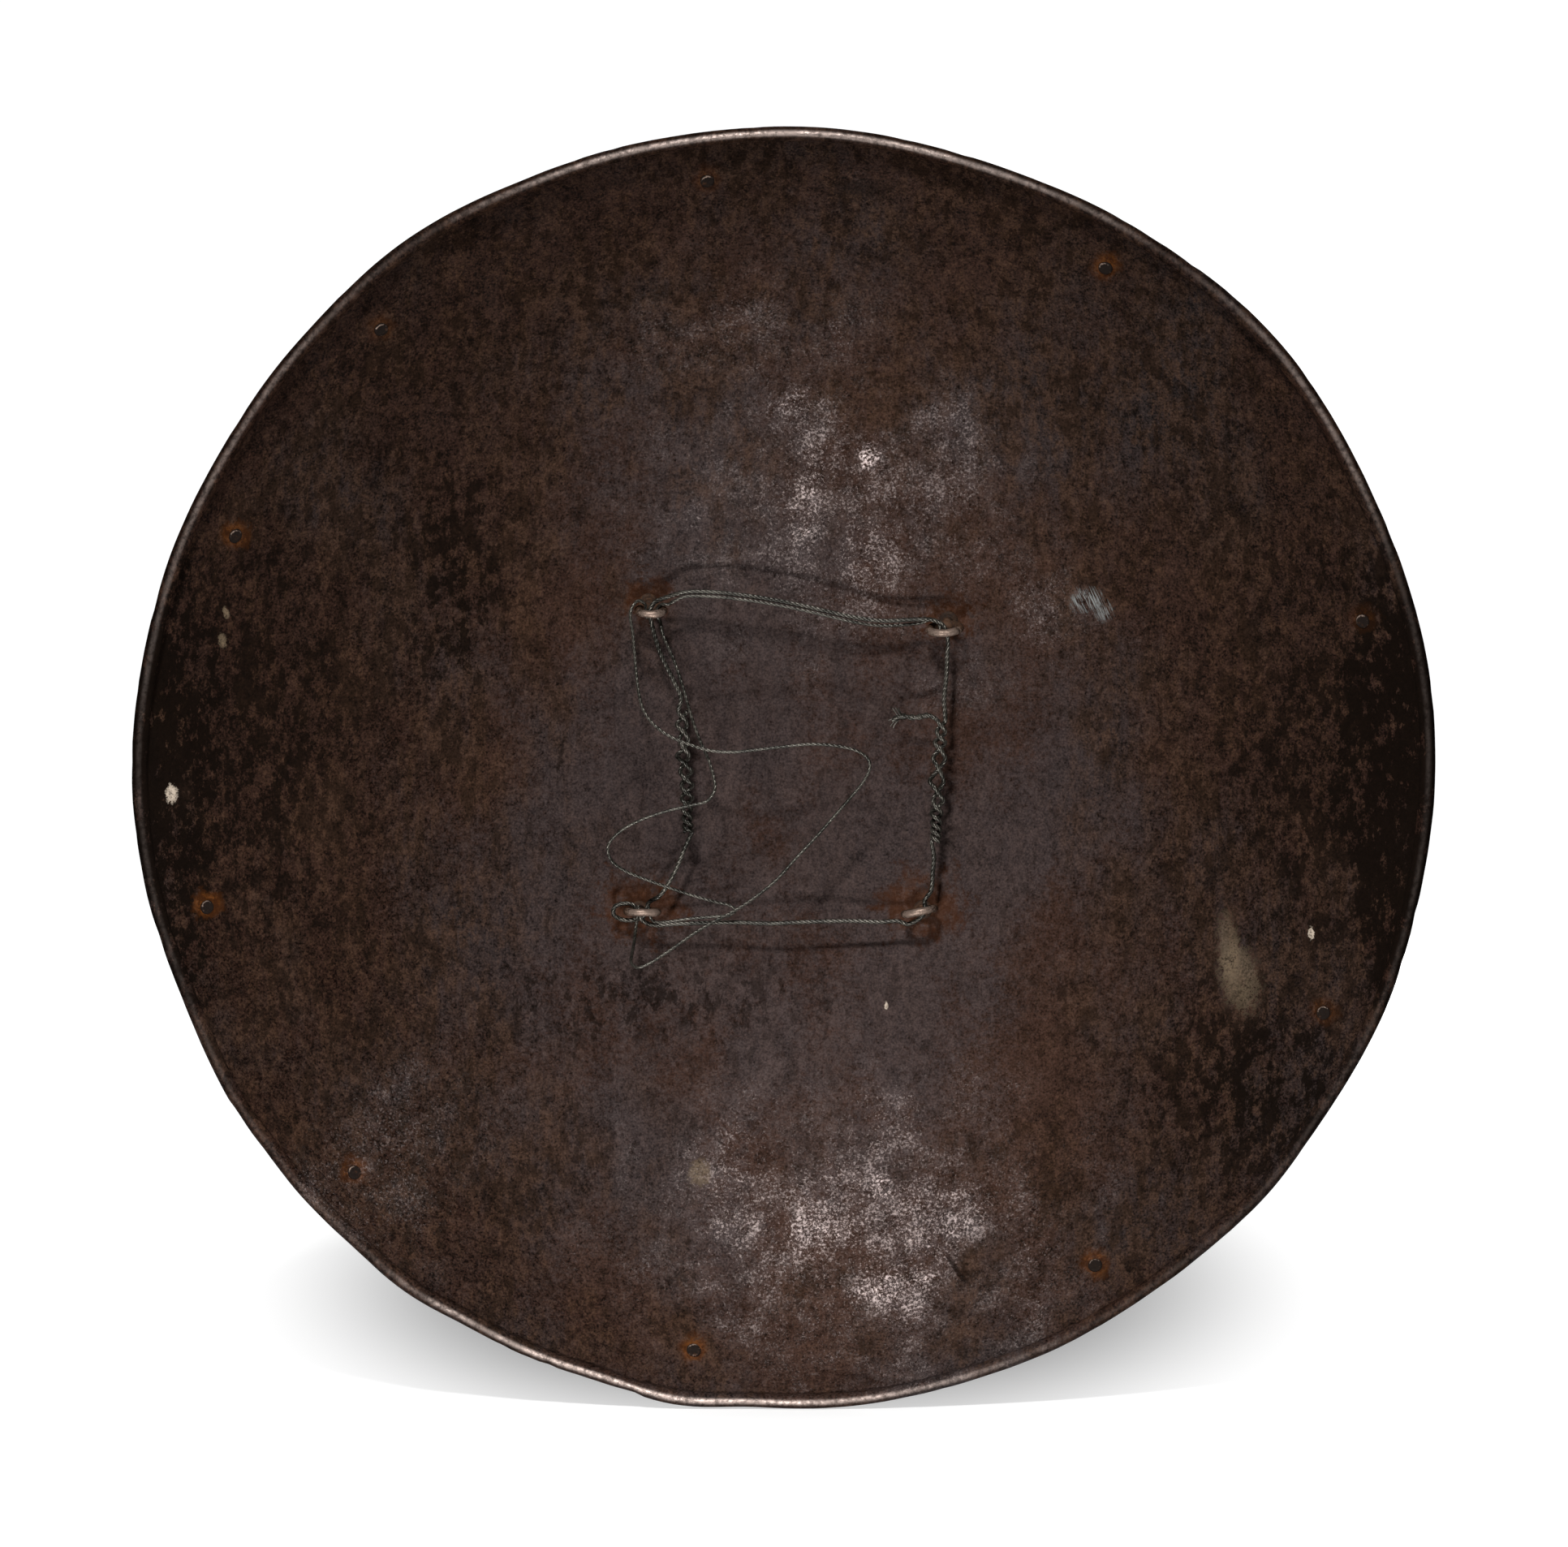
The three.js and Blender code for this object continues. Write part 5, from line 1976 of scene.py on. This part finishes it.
        long = [
            *Route.through_eye(top_left, self.long_in_top_left),
            *Route.off_bowl(self.long_loop),
            *Route.through_eye(bottom_left, self.long_in_bottom_left),
        ]
        return {
            "upper_wire": (WireKind.STRUNG, upper),
            "lower_wire": (WireKind.STRUNG, lower),
            "short_loose_wire": (WireKind.LOOSE, short),
            "long_loose_wire": (WireKind.LOOSE, long),
        }

    def build(self) -> list[bpy.types.Object]:
        """Returns:
            The wires.
        """
        material = self.steel.material()
        made = []
        for node, (kind, points) in self.routes().items():
            size = WIRE_SIZES[kind]
            line = Route.smooth(points, size.ring_step)
            wire = LaidWire(size)
            wire.sweep(line, size.diameter, size.strands, size.groove, size.lay)
            if node == "lower_wire":
                for start in (0.0, math.pi):
                    ply = self._ply(Route.smooth(Route.off_bowl(self.stub), 0.35), start)
                    wire.sweep(ply, self.ply_diameter, 3, size.groove, 0.5 * size.lay)
                for rows in self.frays:
                    fray = Route.smooth(Route.off_bowl(rows), 0.5)
                    wire.sweep(fray, self.fray_diameter, 1, 0.0, size.lay)
            piece = wire.piece(node.replace("wire", "picture_wire"))
            Bench.finish(piece, node, "wire_steel", material, 60.0)
            if kind is WireKind.LOOSE:
                self._declare(piece, line, size)
            made.append(piece)
        return made

    def _ply(self, line: np.ndarray, start: float) -> np.ndarray:
        """One ply of the stub, wound round the stub's own line.

        Args:
            line: The stub's line.
            start: Angle at which the ply starts.

        Returns:
            The ply's line.
        """
        tangents = np.gradient(line, axis=0)
        tangents /= np.linalg.norm(tangents, axis=1)[:, None]
        side = np.cross(tangents, [0.0, 0.0, 1.0])
        side /= np.linalg.norm(side, axis=1)[:, None]
        other = np.cross(tangents, side)
        steps = np.linalg.norm(np.diff(line, axis=0), axis=1)
        turn = start + 2 * math.pi * np.concatenate([[0.0], np.cumsum(steps)]) / self.ply_lay
        off = side * np.cos(turn)[:, None] + other * np.sin(turn)[:, None]
        return line + off * self.ply_reach

    @staticmethod
    def _declare(piece: bpy.types.Object, line: np.ndarray, size: WireSize) -> None:
        """Works out points along a loose wire's line, in the row frame; nothing is done with them.

        Args:
            piece: The wire. Not used.
            line: Its line, in shield millimetres.
            size: Its kind. Not used.
        """
        path = [tuple(HANG @ Vector(point)) for point in line[::3]]
        path.append(tuple(HANG @ Vector(line[-1])))


# ---------------------------------------------------------------------------
# The studio
# ---------------------------------------------------------------------------


@dataclass(frozen=True)
class SoftBox:
    """One rectangular lamp, in metres and watts, aimed at a height over the shield's centre."""

    name: str
    place: Row
    size: tuple[float, float]
    power: float
    aim_rise: float = 0.0


@dataclass
class Studio:
    """White floor and backdrop, three soft boxes and the camera."""

    distance: float = 2.4
    elevation: float = 5.0
    frame_width: float = 0.57825
    floor_height: float = -0.2957
    floor_front: float = -0.50
    floor_width: float = 2.6
    backdrop_at: float = 3.5
    backdrop_height: float = 5.0
    backdrop_bend: float = 1.6
    paper: float = 0.86
    glow: float = 1.60
    glow_share: tuple[float, float] = (0.15, 0.48)
    shadow_middle: tuple[float, float] = (-0.004, 0.26)
    shadow_half: tuple[float, float] = (0.21, 0.42)
    world_strength: float = 0.02
    boxes: tuple[SoftBox, ...] = (
        SoftBox("key_box", (-0.24, -1.28, 1.08), (0.17, 0.13), 28.0),
        SoftBox("floor_card", (-0.06, -0.34, -0.2757), (0.07, 0.04), 1.2, 0.12),
        SoftBox("back_box", (0.40, 1.50, -0.02), (0.60, 0.40), 10.0),
    )

    @property
    def centre(self) -> Vector:
        """The middle of the rim's plane, in the row frame."""
        return HANG @ Vector((0.0, -FORM.depth, 0.0))

    def camera(self) -> None:
        """Sets the camera at the photograph's angle."""
        lean = math.radians(self.elevation)
        place = self.centre + Vector((0, -math.cos(lean), math.sin(lean))) * self.distance
        data = bpy.data.cameras.new("camera")
        data.sensor_width = 36.0
        data.lens = 36.0 * self.distance / self.frame_width
        data.clip_end = 50.0
        seen = bpy.data.objects.new("camera", data)
        seen.location = place
        aim = self.centre + Vector((0, 0, -0.0004)) - place
        seen.rotation_mode = "QUATERNION"
        seen.rotation_quaternion = aim.to_track_quat("-Z", "Y")
        bpy.context.scene.collection.objects.link(seen)
        bpy.context.scene.camera = seen

    def ground(self) -> None:
        """Lays the white floor, which turns up into the backdrop behind the shield."""
        Bench.clear()
        bpy.ops.mesh.primitive_plane_add(size=1.0)
        floor = bpy.context.active_object
        floor.name = "studio_floor"
        for vertex in floor.data.vertices:
            x, y, _ = vertex.co
            back = self.backdrop_at if y > 0 else self.floor_front
            vertex.co = (x * self.floor_width, back, self.floor_height)
        bpy.ops.object.mode_set(mode="EDIT")
        bpy.ops.mesh.select_mode(type="EDGE")
        bpy.ops.mesh.select_all(action="DESELECT")
        mesh = bmesh.from_edit_mesh(floor.data)
        for edge in mesh.edges:
            edge.select_set(all(vertex.co.y > self.backdrop_at / 2 for vertex in edge.verts))
        bmesh.update_edit_mesh(floor.data)
        rise = {"value": (0, 0, self.backdrop_height)}
        bpy.ops.mesh.extrude_region_move(TRANSFORM_OT_translate=rise)
        bpy.ops.object.mode_set(mode="OBJECT")
        Bench.modifier(
            floor, "BEVEL", width=self.backdrop_bend, segments=14, limit_method="ANGLE"
        )
        bpy.ops.object.shade_smooth()
        floor.data.materials.append(self._white())

    def _white(self) -> bpy.types.Material:
        """The floor's white, which glows to camera, glossy and transmission rays: weakly in an
        oval behind the shield, where the shield's shadow shows, and more strongly outside it,
        where the glow washes the shadow out.

        Returns:
            The material.
        """
        graph = Graph("studio_white")
        seen = graph.node("ShaderNodeLightPath", output="Is Camera Ray")
        glossy = graph.node("ShaderNodeLightPath", output="Is Glossy Ray")
        clear = graph.node("ShaderNodeLightPath", output="Is Transmission Ray")
        place = graph.node("ShaderNodeTexCoord", output="Object")
        moved = graph.vector("SUBTRACT", place, (*self.shadow_middle, self.floor_height))
        across, along = self.shadow_half
        moved = graph.vector("MULTIPLY", moved, (1 / across, 1 / along, 1.0))
        # Painted light: outside the oval the floor glows brighter and hides the shield's shadow.
        outside = graph.vector("LENGTH", moved, output="Value").step(0.54, 1.12)
        near, far = self.glow_share
        share = seen.most(glossy).most(clear) * (near + far * outside)
        matt = graph.node("ShaderNodeBsdfDiffuse", None, Color=(self.paper,) * 3)
        white = (1.0, 1.0, 1.0)
        glow = graph.node("ShaderNodeEmission", None, Color=white, Strength=self.glow)
        mixed = graph.node("ShaderNodeMixShader", None, share, matt, glow)
        graph.node("ShaderNodeOutputMaterial", None, mixed)
        return graph.material

    def lights(self) -> None:
        """Hangs a soft box above, stands one behind and lays a small one in front."""
        for box in self.boxes:
            self._lamp(box)
        world = bpy.data.worlds.new("studio_air")
        world.use_nodes = True
        back = world.node_tree.nodes["Background"]
        back.inputs["Color"].default_value = (1.0, 1.0, 1.0, 1.0)
        back.inputs["Strength"].default_value = self.world_strength
        bpy.context.scene.world = world

    def _lamp(self, box: SoftBox) -> None:
        """Hangs one lamp, which the camera doesn't see.

        Args:
            box: Its place, size and power.
        """
        data = bpy.data.lights.new(box.name, "AREA")
        data.shape = "RECTANGLE"
        data.size, data.size_y = box.size
        data.energy = box.power
        lamp = bpy.data.objects.new(box.name, data)
        lamp.location = box.place
        aim = self.centre + Vector((0.0, 0.0, box.aim_rise)) - Vector(box.place)
        lamp.rotation_mode = "QUATERNION"
        lamp.rotation_quaternion = aim.to_track_quat("-Z", "Y")
        lamp.visible_camera = False
        bpy.context.scene.collection.objects.link(lamp)

    def build(self) -> None:
        """Builds the studio."""
        self.ground()
        self.lights()
        bpy.context.scene.view_settings.view_transform = "Standard"


def main() -> None:
    """Builds and dresses the shield, then lights it."""
    logging.basicConfig(level=logging.INFO, format="%(name)s: %(message)s")
    studio = Studio()
    studio.camera()
    wires = WireHarness(PictureWireSteel()).build()
    rivet_steel = ForgedSteel(
        "rivet_steel",
        dark=(0.012, 0.0085, 0.007),
        brown=(0.040, 0.018, 0.010),
        rust_share=0.35,
        pits=0.08,
        shine=0.02,
    )
    rivets = BorderRivets(rivet_steel)
    rivet_places = [seat.translation for seat in rivets.seats()]
    eye_places = [EYES.frame(FORM, eye).translation for eye in EYES.places]
    BeatenBowl(BowlPatina()).build(rivet_places, eye_places)
    made = rivets.build()
    made += DomedBosses(ForgedSteel("boss_steel", rust_share=0.3)).build()
    made += EyeBolts(ForgedSteel("eye_steel", rust_share=0.9, pits=0.12)).build()
    studio.build()
    log.info("%d pieces besides the bowl", len(made) + len(wires))


if __name__ == "__main__":
    main()
